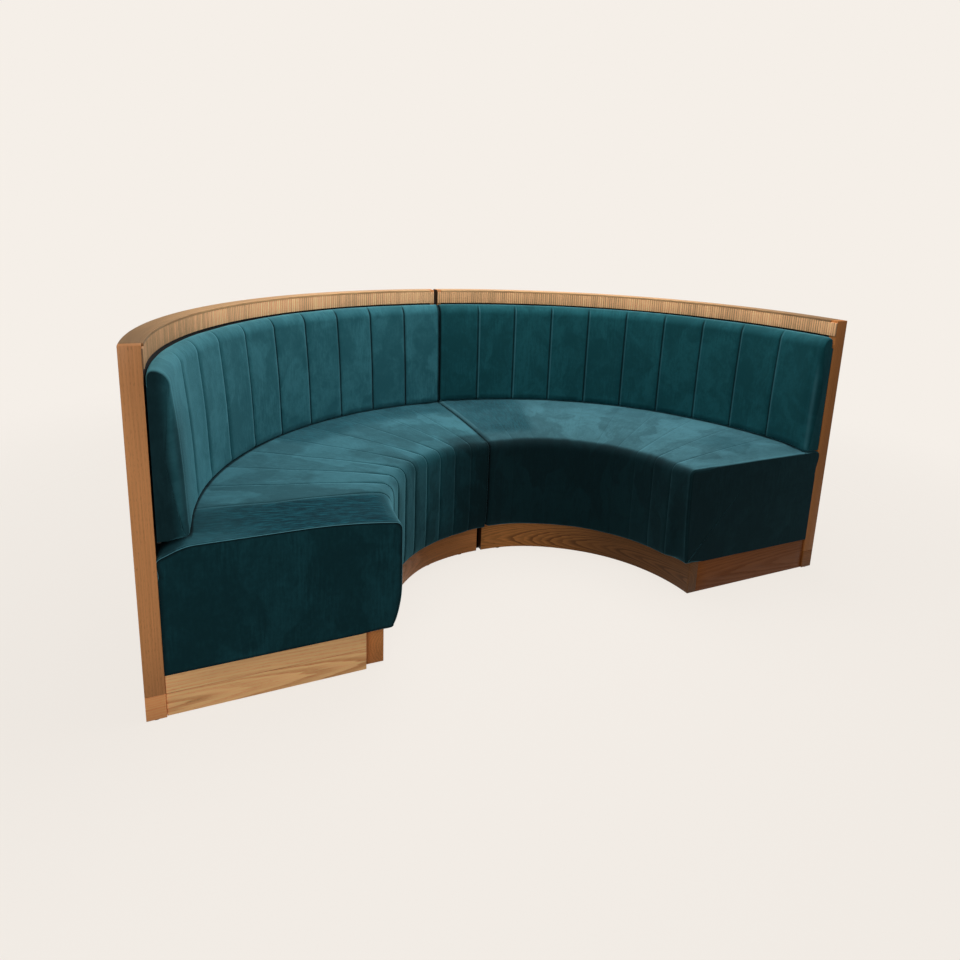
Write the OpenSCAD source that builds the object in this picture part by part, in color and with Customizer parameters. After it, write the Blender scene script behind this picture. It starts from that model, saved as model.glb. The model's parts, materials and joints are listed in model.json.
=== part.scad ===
// Half-round upholstered banquette in two quarter-round sections.
// Each section is an oak back frame with a reeded band, a plinth, a seat box and two channelled cushions.
// Frame: +Z up, open side towards -Y, origin on the floor under the middle of the overall box.

/* [Booth] */
// Outer radius of the back, from a section's own arc centre
outer_r = 1200; // [1050:10:1500]
// Height of the top of the back above the floor
booth_h = 1000; // [880:10:1200]
// Gap between the frames of the two sections
section_gap = 15; // [8:1:40]
// Gap left between the cushions of the two sections
cushion_gap = 4; // [2:1:6]

/* [Back frame] */
// Depth of the posts and of the back frame along the radius
post_depth = 50; // [42:1:80]
// Width of the end post along the arc
end_post_w = 30; // [27:1:60]
// Width of the hidden post at the seam between the sections
seam_post_w = 18; // [12:1:40]
// Height of the cross-grained foot under the end post
post_foot_h = 70; // [40:1:110]
// Thickness of the veneered panel outside
outer_panel_t = 9; // [6:0.5:12]
// Thickness of the inner panel that the back cushion hangs on
inner_panel_t = 9; // [6:0.5:12]
// Thickness of the back frame's rails and studs
frame_board_t = 18; // [12:1:24]
// Number of bays between the frames that stand across a section
bay_count = 6; // [3:1:9]
// Thickness of the top rail
top_rail_t = 22; // [16:1:40]

/* [Reeded band] */
// Height of the band, from the top of the back down to its lower edge
band_h = 58; // [40:1:90]
// How far the crests of the reeds stand in front of the posts
band_proud = 5; // [4:0.5:9]
// Depth of the grooves between the reeds
reed_depth = 2.4; // [1:0.1:3]
// Number of reeds along one section
reed_count = 188; // [90:1:240]
// Height of the top rail's nosing over the band
nosing_h = 8; // [4:1:14]

/* [Plinth] */
// Height of the plinth's top above the floor
plinth_h = 129; // [90:1:180]
// How far the plinth's front lies behind the hem of the seat
plinth_setback = 48; // [40:1:120]
// Thickness of the laminated curved front
plinth_front_t = 29; // [26:1:40]
// Thickness of the end board
end_board_t = 21; // [15:1:30]
// How far the end board lies behind the face of the end post
end_board_recess = 5; // [3:1:15]
// Thickness of the hidden boards of the plinth
plinth_board_t = 18; // [12:1:24]
// Diameter of a nail-on glide
glide_d = 24; // [16:1:25]
// Height of a glide
glide_h = 3; // [2:0.5:8]

/* [Seat box] */
// Thickness of the board under the seat box
seat_floor_t = 12; // [9:1:18]
// Thickness of the bent front panel
front_panel_t = 9; // [6:0.5:12]
// Thickness of the end frames, ribs and back rail
seat_board_t = 18; // [12:1:24]
// Thickness of the seat deck
deck_t = 18; // [12:1:24]

/* [Seat cushion] */
// Height of the crown of the seat above the floor
seat_h = 480; // [420:5:540]
// Radius of the seat's front at its hem
seat_hem_r = 536; // [420:5:640]
// How far the seat's front swells out between hem and top
front_bow = 14; // [0:1:20]
// Radius of the rounded front edge
front_round = 34; // [20:1:60]
// Thickness of the foam between the deck and the crown
seat_foam_t = 75; // [60:1:110]
// Thickness of the foam on the seat's front
front_foam_t = 22; // [15:1:40]
// Rise of the seat's top between front and back
seat_crown = 3; // [0:1:12]
// Width of the fall of the seat's top towards the back frame
back_fall_w = 60; // [30:1:90]
// Depth of that fall
back_fall_h = 25; // [10:1:35]

/* [Back cushion] */
// Gap between the crown of the seat and the back cushion
cushion_lift = 14; // [8:1:30]
// Gap between the back cushion and the band above it
band_clear = 2; // [2:1:15]
// Gap between the cushion's board and the back frame, taken by the hanging clips
clip_gap = 4.8; // [4.6:0.1:8]
// Thickness of the cushion's board
pad_board_t = 9; // [6:0.5:15]
// Thickness of the back cushion at its seams, at the foot
pad_foot_t = 54; // [35:1:80]
// Thickness of the back cushion at its seams, at the head
pad_head_t = 47; // [35:1:80]
// Radius of the cushion's lower front edge
pad_edge = 9; // [5:1:15]

/* [Cover] */
// Number of sewn channels in each cushion
channel_count = 10; // [6:1:14]
// Thickness of the padded cover at its seams
cover_t = 3; // [2:0.5:5]
// Swell of a channel above its seams on the seat
seat_puff = 7; // [2:0.5:12]
// Swell of a channel above its seams on the back cushion
pad_puff = 6; // [2:0.5:12]
// Thickness of the flat velvet panel that closes a cushion's end
side_panel_t = 3; // [2:0.5:6]

/* [Hardware] */
// Diameter of a bolt
bolt_d = 8; // [6:1:10]
// Diameter of a bolt's hole
bolt_hole_d = 9; // [8:0.5:12]
// Width of a hanging clip
clip_w = 40; // [20:1:80]
// Thickness of a hanging clip's metal
clip_t = 1.5; // [1:0.1:1.5]

/* [Hidden] */
// Sides of the booth, each with the first word of its nodes' names
LEFT = -1;
RIGHT = 1;
SIDES = [["left_", LEFT], ["right_", RIGHT]];
PIECES = [
    "end_post", "post_foot", "seam_post", "top_rail", "reeded_band",
    "outer_back_panel", "inner_back_panel", "back_rails", "back_studs",
    "plinth_front", "plinth_end_board", "plinth_seam_board", "plinth_back_rail",
    "plinth_bearers", "glides",
    "seat_floor", "seat_front_panel", "seat_back_rail", "seat_end_frames",
    "seat_ribs", "seat_deck", "seat_foam", "seat_cover", "seat_side_panels",
    "back_pad_board", "back_pad_foam", "back_pad_cover", "back_pad_side_panels",
    "pad_clips", "frame_bolts"
];
NODES = [for (s = SIDES, piece = PIECES) str(s[0], piece)];
node = "all";

$fn = 96;

// Angle of a section, from its end plane to its seam plane
quarter = 90;
// How many degrees a swept ring starts before the end plane and runs past the seam plane
sweep_lead = 3;
// Clearance between pieces that meet on a curve
fit_gap = 0.3;
// Length by which a cut runs past the faces that it opens
overrun = 1;

// Colours
oak = [0.66, 0.45, 0.28];
oak_dark = [0.47, 0.29, 0.15];
plywood = [0.80, 0.68, 0.50];
velvet = [0.10, 0.28, 0.32];
foam = [0.93, 0.88, 0.70];
steel = [0.62, 0.63, 0.65];
black_nylon = [0.12, 0.12, 0.12];

// Radii and heights of the back frame
frame_r = outer_r - post_depth;
inner_panel_back_r = frame_r + inner_panel_t;
outer_panel_front_r = outer_r - outer_panel_t;
top_rail_z = booth_h - top_rail_t;
upper_rail_z = top_rail_z - frame_board_t;
lower_rail_top_z = glide_h + frame_board_t;
foot_top_z = glide_h + post_foot_h;

// Band of reeds
crest_r = frame_r - band_proud;
groove_r = crest_r + reed_depth;
band_foot_z = booth_h - band_h;
band_top_z = booth_h - nosing_h;
// Where the points of one reed lie, across the reed
reed_shares = [0, 0.22, 0.78];
// Reeds to one straight of the band's back
reeds_per_straight = 4;

// Radii of the plinth and the seat box
plinth_front_r = seat_hem_r + plinth_setback;
plinth_board_r = plinth_front_r + plinth_front_t;
seat_back_r = frame_r - fit_gap;
plinth_rail_r = seat_back_r - plinth_board_t;
box_r = seat_hem_r + cover_t + front_foam_t;
rib_front_r = box_r + front_panel_t;
seat_rail_r = seat_back_r - seat_board_t;
seat_floor_top_z = plinth_h + seat_floor_t;
deck_top_z = seat_h - seat_foam_t;
deck_z = deck_top_z - deck_t;

// How far the cushions stand past the frame at the seam
cushion_reach = (section_gap - cushion_gap) / 2;

// Seat cushion's outline at a seam
hem_z = plinth_h - cover_t - fit_gap;
hem_inner_r = (box_r + plinth_front_r) / 2;
hem_edge = cover_t * 2;
seat_edge_z = seat_h - seat_puff - seat_crown;
round_z = seat_edge_z - front_round;
round_r = seat_hem_r + front_round;
fall_r = seat_back_r - back_fall_w;
fall_z = seat_edge_z - back_fall_h;

// Back cushion's outline at a seam
pad_back_r = frame_r - clip_gap;
pad_board_r = pad_back_r - pad_board_t;
pad_z = seat_h + cushion_lift;
pad_round = pad_head_t / 2;
pad_round_z = booth_h - band_h - band_clear - pad_puff - pad_round;
pad_round_r = pad_back_r - pad_round;
pad_foot_r = pad_back_r - pad_foot_t;
pad_head_r = pad_back_r - pad_head_t;
pad_tuck = pad_edge + cover_t;
pad_board_z = pad_z + cover_t + fit_gap;
pad_board_top_z = pad_round_z - pad_tuck;

// Hanging clips: two alike, hooked into each other in the gap behind the back cushion
clip_frame_r = sqrt(pow(frame_r, 2) - pow(clip_w / 2, 2));
clip_touch = fit_gap / 3;
clip_span = clip_frame_r - pad_back_r - clip_touch;
clip_step = clip_span - clip_t - clip_touch;
clip_leg = clip_t * 12;
clip_length = clip_leg + clip_t * 8;
clip_hang = clip_leg + clip_length + clip_t + clip_t * (clip_touch + clip_t) / clip_step + fit_gap;
clip_z = pad_z + (pad_round_z - pad_z) * 0.7;

// Bolts through the seat box's back rail and the inner back panel
bolt_z = (seat_floor_top_z + deck_z) / 2;
bolt_grip = inner_panel_back_r - seat_rail_r;
bolt_head_h = bolt_d * 0.65;
bolt_hex_d = bolt_d * 1.85;
nut_h = bolt_d * 0.8;
washer_d = bolt_d * 2.6;
washer_t = bolt_d * 0.2;
hex_sides = 6;
bolt_foot_r = seat_rail_r - fit_gap / 2 - washer_t - bolt_head_h;
bolt_shank = 2 * washer_t + bolt_grip + nut_h + bolt_d * 0.3;

// Where the points lie along each stretch of an outline, as shares of the stretch
front_shares = [0.2, 0.45, 0.72, 1];
round_shares = [0.5, 1];
top_shares = [0.5, 1];
fall_shares = [0.5, 1];
pad_face_shares = [0.33, 0.67, 1];
pad_round_shares = [0.2, 0.42, 0.65, 1];
// Where the points lie across a channel, from one seam towards the next
channel_shares = [0, 0.2, 0.5, 0.8];
// Share of the full swell at each point of the two outlines
seat_puff_shares = [0, 0, 0.25, 0.8, 1, 1, 1, 1, 1, 1, 1, 0.5, 0, 0];
pad_puff_shares = [0, 0, 0.6, 1, 1, 1, 1, 0.9, 0.5, 0, 0];

// A whole section is drawn in its own quarter: end plane y = 0, seam plane x = 0
module section(side) {
    translate([side * section_gap / 2, -outer_r / 2, 0])
        mirror([side == LEFT ? 1 : 0, 0, 0])
            children();
}

// Sweep of an outline in (radius, height), trimmed by planes that run along the two ends
module swept(end_cut, seam_cut) {
    intersection() {
        rotate([0, 0, -sweep_lead])
            rotate_extrude(angle = quarter + 2 * sweep_lead)
                children();
        translate([seam_cut, end_cut, 0])
            cube([2 * outer_r, 2 * outer_r, 2 * booth_h]);
    }
}

// Curved board between two radii and two heights
module curved_board(r0, r1, z0, z1, end_cut, seam_cut) {
    swept(end_cut, seam_cut)
        translate([r0, z0])
            square([r1 - r0, z1 - z0]);
}

// Full ring between two radii
module ring(r0, r1, z0, z1) {
    translate([0, 0, z0])
        difference() {
            cylinder(r = r1, h = z1 - z0);
            translate([0, 0, -overrun])
                cylinder(r = r0, h = z1 - z0 + 2 * overrun);
        }
}

// Straight board that stands on a radius at an angle and fits between two curved faces
module radial_board(angle, r0, r1, t, z0, z1) {
    intersection() {
        ring(r0, r1, z0, z1);
        rotate([0, 0, angle])
            translate([0, -t / 2, z0])
                cube([2 * r1, t, z1 - z0]);
    }
}

// Straight board along the end plane, between two curved faces
module end_plane_board(r0, r1, y0, t, z0, z1) {
    intersection() {
        ring(r0, r1, z0, z1);
        translate([0, y0, z0])
            cube([2 * r1, t, z1 - z0]);
    }
}

// Straight board along the seam plane, between two curved faces
module seam_plane_board(r0, r1, x0, t, z0, z1) {
    intersection() {
        ring(r0, r1, z0, z1);
        translate([x0, 0, z0])
            cube([t, 2 * r1, z1 - z0]);
    }
}

// Angles of the frames between the ends, where studs, ribs and bearers stand in line
frame_angles = [for (i = [1:bay_count - 1]) quarter * i / bay_count];
// Angles of the middles of the bays, where glides, bolts and clips lie
bay_angles = [for (i = [0:bay_count - 1]) quarter * (i + 0.5) / bay_count];

// Outline points of the seat in (radius, height), moved inwards by an offset given for each point
function seat_outline(o) = let (
    n_front = len(front_shares),
    n_round = len(round_shares),
    n_top = len(top_shares),
    n_fall = len(fall_shares),
    at_front = 3,
    at_round = at_front + n_front,
    at_top = at_round + n_round,
    at_fall = at_top + n_top,
    at_back = at_fall + n_fall
) concat(
    [
        [hem_inner_r, hem_z + o[0]],
        [seat_hem_r + hem_edge, hem_z + o[1]],
        [seat_hem_r + o[2], hem_z + hem_edge]
    ],
    [for (k = [0:n_front - 1]) let (t = front_shares[k])
        [seat_hem_r - front_bow * sin(2 * quarter * t) + o[at_front + k],
         hem_z + hem_edge + (round_z - hem_z - hem_edge) * t]],
    [for (k = [0:n_round - 1]) let (a = quarter * round_shares[k], r = front_round - o[at_round + k])
        [round_r - r * cos(a), round_z + r * sin(a)]],
    [for (k = [0:n_top - 1]) let (t = top_shares[k])
        [round_r + (fall_r - round_r) * t,
         seat_edge_z + seat_crown * sin(2 * quarter * t) - o[at_top + k]]],
    [for (k = [0:n_fall - 1]) let (a = quarter * fall_shares[k], d = o[at_fall + k])
        [fall_r + (back_fall_w - d) * sin(a), fall_z + (back_fall_h - d) * cos(a)]],
    [[seat_back_r - o[at_back], deck_top_z]]
);

// Outline points of the back cushion in (radius, height), moved inwards by an offset for each point
function pad_outline(o) = let (
    n_face = len(pad_face_shares),
    n_round = len(pad_round_shares),
    at_face = 3,
    at_round = at_face + n_face,
    at_back = at_round + n_round
) concat(
    [
        [pad_back_r, pad_z + o[0]],
        [pad_foot_r + pad_edge, pad_z + o[1]],
        [pad_foot_r + o[2], pad_z + pad_edge]
    ],
    [for (k = [0:n_face - 1]) let (t = pad_face_shares[k])
        [pad_foot_r + (pad_head_r - pad_foot_r) * t + o[at_face + k],
         pad_z + pad_edge + (pad_round_z - pad_z - pad_edge) * t]],
    [for (k = [0:n_round - 1])
        let (a = 2 * quarter * pad_round_shares[k], r = pad_round - o[at_round + k])
        [pad_round_r - r * cos(a), pad_round_z + r * sin(a)]],
    [[pad_back_r - o[at_back], pad_board_top_z + fit_gap]]
);

// The same offset for every point of an outline
function even(o, shares) = [for (s = shares) o];

// Share of the full swell across one channel: nothing at its two seams, all of it in the middle
function swell(f) = sqrt(4 * f * (1 - f));

// One point of a swept cover, at a share u of the way from the end plane to the seam plane
function cover_point(p, u) = let (
    from = asin(side_panel_t / p[0]),
    to = quarter + asin((cushion_reach - side_panel_t) / p[0]),
    a = from + (to - from) * u
) [p[0] * cos(a), p[0] * sin(a), p[1]];

// Padded cover: an open skin whose outside swells between the seams and whose inside is plain
module channelled_cover(outer, inner) {
    per_channel = len(channel_shares);
    columns = channel_count * per_channel;
    half = len(inner);
    around = 2 * half;
    skin = [for (c = [0:columns])
        let (f = channel_shares[c % per_channel], u = (floor(c / per_channel) + f) / channel_count,
             loop = concat(outer[c % per_channel], [for (k = [half - 1:-1:0]) inner[k]]))
        for (p = loop) cover_point(p, u)];
    sides = [for (c = [0:columns - 1], k = [0:around - 1])
        let (a = c * around + k, b = c * around + (k + 1) % around)
        each [[a, b, b + around], [a, b + around, a + around]]];
    first = [for (k = [0:half - 2])
        each [[k, around - 1 - k, around - 2 - k], [k, around - 2 - k, k + 1]]];
    last = [for (t = first) [for (v = [2:-1:0]) t[v] + columns * around]];
    polyhedron(points = skin, faces = concat(sides, first, last), convexity = 8);
}

// The outline at each column of a channel, pushed outwards by the swell there
function seat_skins() = [for (f = channel_shares)
    seat_outline([for (s = seat_puff_shares) -seat_puff * s * swell(f)])];
function pad_skins() = [for (f = channel_shares)
    pad_outline([for (s = pad_puff_shares) -pad_puff * s * swell(f)])];

// Flat end panel with a cushion's outline, one on each end of the section
module side_panels(outline) {
    translate([0, side_panel_t, 0])
        rotate([quarter, 0, 0])
            linear_extrude(side_panel_t)
                polygon(outline);
    translate([-cushion_reach, 0, 0])
        rotate([quarter, 0, quarter])
            linear_extrude(side_panel_t)
                polygon(outline);
}

// Back frame

module end_post() {
    color(oak)
        translate([frame_r, 0, foot_top_z])
            cube([post_depth, end_post_w, booth_h - foot_top_z]);
}

module post_foot() {
    color(oak_dark)
        translate([frame_r, 0, glide_h])
            cube([post_depth, end_post_w, post_foot_h]);
}

module seam_post() {
    color(oak)
        translate([0, frame_r, glide_h])
            cube([seam_post_w, post_depth, booth_h - glide_h]);
}

module top_rail() {
    color(oak)
        union() {
            curved_board(frame_r, outer_r, top_rail_z, booth_h, end_post_w, seam_post_w);
            curved_board(crest_r, frame_r, band_top_z, booth_h, 0, 0);
        }
}

// Point on the band's outline at a radius and a share of the way from the end to the seam
function band_point(r, u) = [r * cos(quarter * u), r * sin(quarter * u)];

module reeded_band() {
    straights = ceil(reed_count / reeds_per_straight);
    reeds = [for (i = [0:reed_count - 1], s = reed_shares)
        band_point(s == 0 ? groove_r : crest_r, (i + s) / reed_count)];
    back = [for (i = [straights:-1:0]) band_point(frame_r, i / straights)];
    color(oak)
        translate([0, 0, band_foot_z])
            linear_extrude(band_top_z - band_foot_z)
                polygon(concat(reeds, [band_point(groove_r, 1)], back));
}

module outer_back_panel() {
    color(oak)
        curved_board(outer_panel_front_r, outer_r, glide_h, top_rail_z, end_post_w, seam_post_w);
}

module inner_back_panel() {
    color(plywood)
        difference() {
            curved_board(frame_r, inner_panel_back_r, glide_h, top_rail_z, end_post_w, seam_post_w);
            bolt_holes();
        }
}

module back_rails() {
    color(plywood)
        for (z = [glide_h, upper_rail_z])
            curved_board(inner_panel_back_r, outer_panel_front_r, z, z + frame_board_t,
                         end_post_w, seam_post_w);
}

module back_studs() {
    color(plywood)
        for (angle = frame_angles)
            radial_board(angle, inner_panel_back_r, outer_panel_front_r, frame_board_t,
                         lower_rail_top_z, upper_rail_z);
}

// Plinth

// The left front stops behind its end board, and the right front runs to the end board's face
function plinth_front_cut(side) = end_board_recess + (side == LEFT ? end_board_t : 0);

module plinth_front(side) {
    color(oak_dark)
        curved_board(plinth_front_r, plinth_board_r, glide_h, plinth_h, plinth_front_cut(side), 0);
}

module plinth_end_board() {
    color(oak)
        end_plane_board(plinth_board_r, seat_back_r, end_board_recess, end_board_t, glide_h, plinth_h);
}

module plinth_seam_board() {
    color(plywood)
        seam_plane_board(plinth_board_r, plinth_rail_r, 0, plinth_board_t, glide_h, plinth_h);
}

module plinth_back_rail() {
    color(plywood)
        curved_board(plinth_rail_r, seat_back_r, glide_h, plinth_h, end_board_recess + end_board_t, 0);
}

module plinth_bearers() {
    color(plywood)
        for (angle = frame_angles)
            radial_board(angle, plinth_board_r, plinth_rail_r, plinth_board_t, glide_h, plinth_h);
}

module glide_at(r, angle) {
    rotate([0, 0, angle])
        translate([r, 0, 0])
            cylinder(d = glide_d, h = glide_h);
}

module glides() {
    color(black_nylon) {
        for (angle = bay_angles) {
            glide_at(plinth_front_r + plinth_front_t / 2, angle);
            glide_at((inner_panel_back_r + outer_panel_front_r) / 2, angle);
        }
        translate([frame_r + post_depth / 2, end_post_w / 2, 0])
            cylinder(d = glide_d, h = glide_h);
    }
}

// Seat box

module seat_floor() {
    color(plywood)
        curved_board(box_r, seat_back_r, plinth_h, seat_floor_top_z, side_panel_t, 0);
}

module seat_front_panel() {
    color(plywood)
        curved_board(box_r, rib_front_r, seat_floor_top_z, deck_z, side_panel_t, 0);
}

module seat_back_rail() {
    color(plywood)
        difference() {
            curved_board(seat_rail_r, seat_back_r, seat_floor_top_z, deck_z, side_panel_t, 0);
            bolt_holes();
        }
}

module seat_end_frames() {
    color(plywood) {
        end_plane_board(rib_front_r, seat_rail_r, side_panel_t, seat_board_t, seat_floor_top_z, deck_z);
        seam_plane_board(rib_front_r, seat_rail_r, 0, seat_board_t, seat_floor_top_z, deck_z);
    }
}

module seat_ribs() {
    color(plywood)
        for (angle = frame_angles)
            radial_board(angle, rib_front_r, seat_rail_r, seat_board_t, seat_floor_top_z, deck_z);
}

module seat_deck() {
    color(plywood)
        curved_board(box_r, seat_back_r, deck_z, deck_top_z, side_panel_t, 0);
}

// Seat cushion

module seat_foam() {
    inside = seat_outline(even(cover_t + fit_gap, seat_puff_shares));
    color(foam)
        swept(side_panel_t, side_panel_t - cushion_reach)
            polygon(concat(
                [[box_r, plinth_h], [seat_hem_r + cover_t + hem_edge, plinth_h]],
                [for (k = [2:len(inside) - 1]) inside[k]],
                [[box_r, deck_top_z]]
            ));
}

module seat_cover() {
    color(velvet)
        channelled_cover(seat_skins(), seat_outline(even(cover_t, seat_puff_shares)));
}

module seat_side_panels() {
    outline = seat_outline(even(0, seat_puff_shares));
    color(velvet)
        side_panels(concat([[seat_back_r, hem_z]], [for (k = [1:len(outline) - 1]) outline[k]]));
}

// Back cushion

module back_pad_board() {
    color(plywood)
        curved_board(pad_board_r, pad_back_r, pad_board_z, pad_board_top_z,
                     side_panel_t, side_panel_t - cushion_reach);
}

module back_pad_foam() {
    inside = pad_outline(even(cover_t + fit_gap, pad_puff_shares));
    color(foam)
        swept(side_panel_t, side_panel_t - cushion_reach)
            polygon(concat(
                [[pad_board_r, pad_board_z]],
                [for (k = [1:len(inside) - 2]) inside[k]],
                [[pad_back_r - cover_t - fit_gap, pad_board_top_z], [pad_board_r, pad_board_top_z]]
            ));
}

module back_pad_cover() {
    color(velvet)
        channelled_cover(pad_skins(), pad_outline(even(cover_t, pad_puff_shares)));
}

module back_pad_side_panels() {
    color(velvet)
        side_panels(concat(pad_outline(even(0, pad_puff_shares)), [[pad_back_r, pad_z]]));
}

// Hardware

// One clip in (depth, height): a leg flat on the plane at 0, a slanted web, and a tongue stepped away
module clip_profile() {
    polygon([
        [0, 0], [clip_t, 0], [clip_t, clip_leg],
        [clip_step + clip_t, clip_leg + clip_t], [clip_step + clip_t, clip_length],
        [clip_step, clip_length], [clip_step, clip_leg + 2 * clip_t], [0, clip_leg + clip_t]
    ]);
}

// The frame's clip points up, and the cushion's clip is the same turned over and hooked on it
module clip_pair() {
    clip_profile();
    translate([clip_span, clip_hang])
        rotate(2 * quarter)
            clip_profile();
}

module pad_clips() {
    color(steel)
        for (angle = bay_angles)
            rotate([0, 0, angle])
                translate([clip_frame_r, clip_w / 2, clip_z])
                    rotate([quarter, 0, 0])
                        linear_extrude(clip_w)
                            mirror([1, 0])
                                clip_pair();
}

// Turns children from the Z axis onto the radius at an angle, at the bolts' height
module bolt_axis(angle, r) {
    rotate([0, quarter, angle])
        translate([-bolt_z, 0, r])
            children();
}

module bolt_holes() {
    for (angle = bay_angles)
        bolt_axis(angle, seat_rail_r - overrun)
            cylinder(d = bolt_hole_d, h = bolt_grip + 2 * overrun);
}

module pierced_disc(across, t, sides) {
    difference() {
        cylinder(d = across, h = t, $fn = sides);
        translate([0, 0, -overrun])
            cylinder(d = bolt_d + fit_gap, h = t + 2 * overrun);
    }
}

// From the seat box outwards: head, washer, the two boards, washer, nut
module frame_bolts() {
    color(steel)
        for (angle = bay_angles)
            bolt_axis(angle, bolt_foot_r) {
                cylinder(d = bolt_hex_d, h = bolt_head_h, $fn = hex_sides);
                cylinder(d = bolt_d, h = bolt_head_h + bolt_shank);
                translate([0, 0, bolt_head_h])
                    pierced_disc(washer_d, washer_t, $fn);
                translate([0, 0, bolt_head_h + washer_t + bolt_grip + fit_gap])
                    pierced_disc(washer_d, washer_t, $fn);
                translate([0, 0, bolt_head_h + 2 * washer_t + bolt_grip + fit_gap])
                    pierced_disc(bolt_hex_d, nut_h, hex_sides);
            }
}

// Every piece of both sections

function shown(side, piece) = node == "all" || node == str(side[0], piece);

for (side = SIDES) {
    if (shown(side, "end_post")) section(side[1]) end_post();
    if (shown(side, "post_foot")) section(side[1]) post_foot();
    if (shown(side, "seam_post")) section(side[1]) seam_post();
    if (shown(side, "top_rail")) section(side[1]) top_rail();
    if (shown(side, "reeded_band")) section(side[1]) reeded_band();
    if (shown(side, "outer_back_panel")) section(side[1]) outer_back_panel();
    if (shown(side, "inner_back_panel")) section(side[1]) inner_back_panel();
    if (shown(side, "back_rails")) section(side[1]) back_rails();
    if (shown(side, "back_studs")) section(side[1]) back_studs();
    if (shown(side, "plinth_front")) section(side[1]) plinth_front(side[1]);
    if (shown(side, "plinth_end_board")) section(side[1]) plinth_end_board();
    if (shown(side, "plinth_seam_board")) section(side[1]) plinth_seam_board();
    if (shown(side, "plinth_back_rail")) section(side[1]) plinth_back_rail();
    if (shown(side, "plinth_bearers")) section(side[1]) plinth_bearers();
    if (shown(side, "glides")) section(side[1]) glides();
    if (shown(side, "seat_floor")) section(side[1]) seat_floor();
    if (shown(side, "seat_front_panel")) section(side[1]) seat_front_panel();
    if (shown(side, "seat_back_rail")) section(side[1]) seat_back_rail();
    if (shown(side, "seat_end_frames")) section(side[1]) seat_end_frames();
    if (shown(side, "seat_ribs")) section(side[1]) seat_ribs();
    if (shown(side, "seat_deck")) section(side[1]) seat_deck();
    if (shown(side, "seat_foam")) section(side[1]) seat_foam();
    if (shown(side, "seat_cover")) section(side[1]) seat_cover();
    if (shown(side, "seat_side_panels")) section(side[1]) seat_side_panels();
    if (shown(side, "back_pad_board")) section(side[1]) back_pad_board();
    if (shown(side, "back_pad_foam")) section(side[1]) back_pad_foam();
    if (shown(side, "back_pad_cover")) section(side[1]) back_pad_cover();
    if (shown(side, "back_pad_side_panels")) section(side[1]) back_pad_side_panels();
    if (shown(side, "pad_clips")) section(side[1]) pad_clips();
    if (shown(side, "frame_bolts")) section(side[1]) frame_bolts();
}
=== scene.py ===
"""Looks of a half-round upholstered booth: oak back frame, reeded band, plinth and channelled velvet cushions.

Lengths are in metres. A section is worked out in a space of its own: the centre of its arc is the origin, its
end plane is y = 0, its seam plane is x = 0, and the angle a runs from the end plane towards the seam plane.
SectionSpace carries that space into the frame, and turns it over for the left section.
"""

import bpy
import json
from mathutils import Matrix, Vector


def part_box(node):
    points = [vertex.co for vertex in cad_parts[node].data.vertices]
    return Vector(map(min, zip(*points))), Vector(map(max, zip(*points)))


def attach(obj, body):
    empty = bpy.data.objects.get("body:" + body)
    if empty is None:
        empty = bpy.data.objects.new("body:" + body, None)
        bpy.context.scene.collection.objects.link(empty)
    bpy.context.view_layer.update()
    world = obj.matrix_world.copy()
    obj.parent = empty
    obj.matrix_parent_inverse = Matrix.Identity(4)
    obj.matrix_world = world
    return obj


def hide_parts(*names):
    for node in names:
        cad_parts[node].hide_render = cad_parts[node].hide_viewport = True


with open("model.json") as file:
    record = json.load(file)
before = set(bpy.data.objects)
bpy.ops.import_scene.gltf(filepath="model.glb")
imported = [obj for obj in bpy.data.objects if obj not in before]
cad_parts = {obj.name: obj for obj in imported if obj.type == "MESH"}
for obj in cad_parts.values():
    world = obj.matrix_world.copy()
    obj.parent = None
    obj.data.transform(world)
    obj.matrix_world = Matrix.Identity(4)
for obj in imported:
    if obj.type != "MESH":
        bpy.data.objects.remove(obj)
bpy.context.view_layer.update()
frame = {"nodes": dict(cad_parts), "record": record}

import functools
import json
import logging
import math
from dataclasses import dataclass, field
from enum import Enum
from typing import Callable, Iterator, Sequence

import bpy
import numpy as np
from mathutils import Matrix, Vector

log = logging.getLogger("booth")
logging.basicConfig(level=logging.INFO, format="%(name)s: %(message)s")

Array = np.ndarray
Colour = tuple[float, float, float]
Corners = Sequence[tuple[float, float]]
Value = bpy.types.NodeSocket | float | tuple[float, ...]

QUARTER = math.pi / 2
MM = 0.001
REEDS = 188
FIRST_WAYS = (0.0, 0.35, 0.5, 0.62)
MARKS = ("Seam", "Lip", "Panel", "Brushed", "Dusk")
PANEL_NUMBER = 20.5


class Side(Enum):
    """A section of the booth. The value is the sign of its x."""

    LEFT = -1
    RIGHT = 1

    @property
    def prefix(self) -> str:
        """First word of the names of the section's nodes and pieces."""
        return self.name.lower() + "_"


class Grain(Enum):
    """Which way the grain of a wooden piece runs."""

    ALONG = "along the path that the piece follows"
    UPRIGHT = "up the piece"


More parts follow.
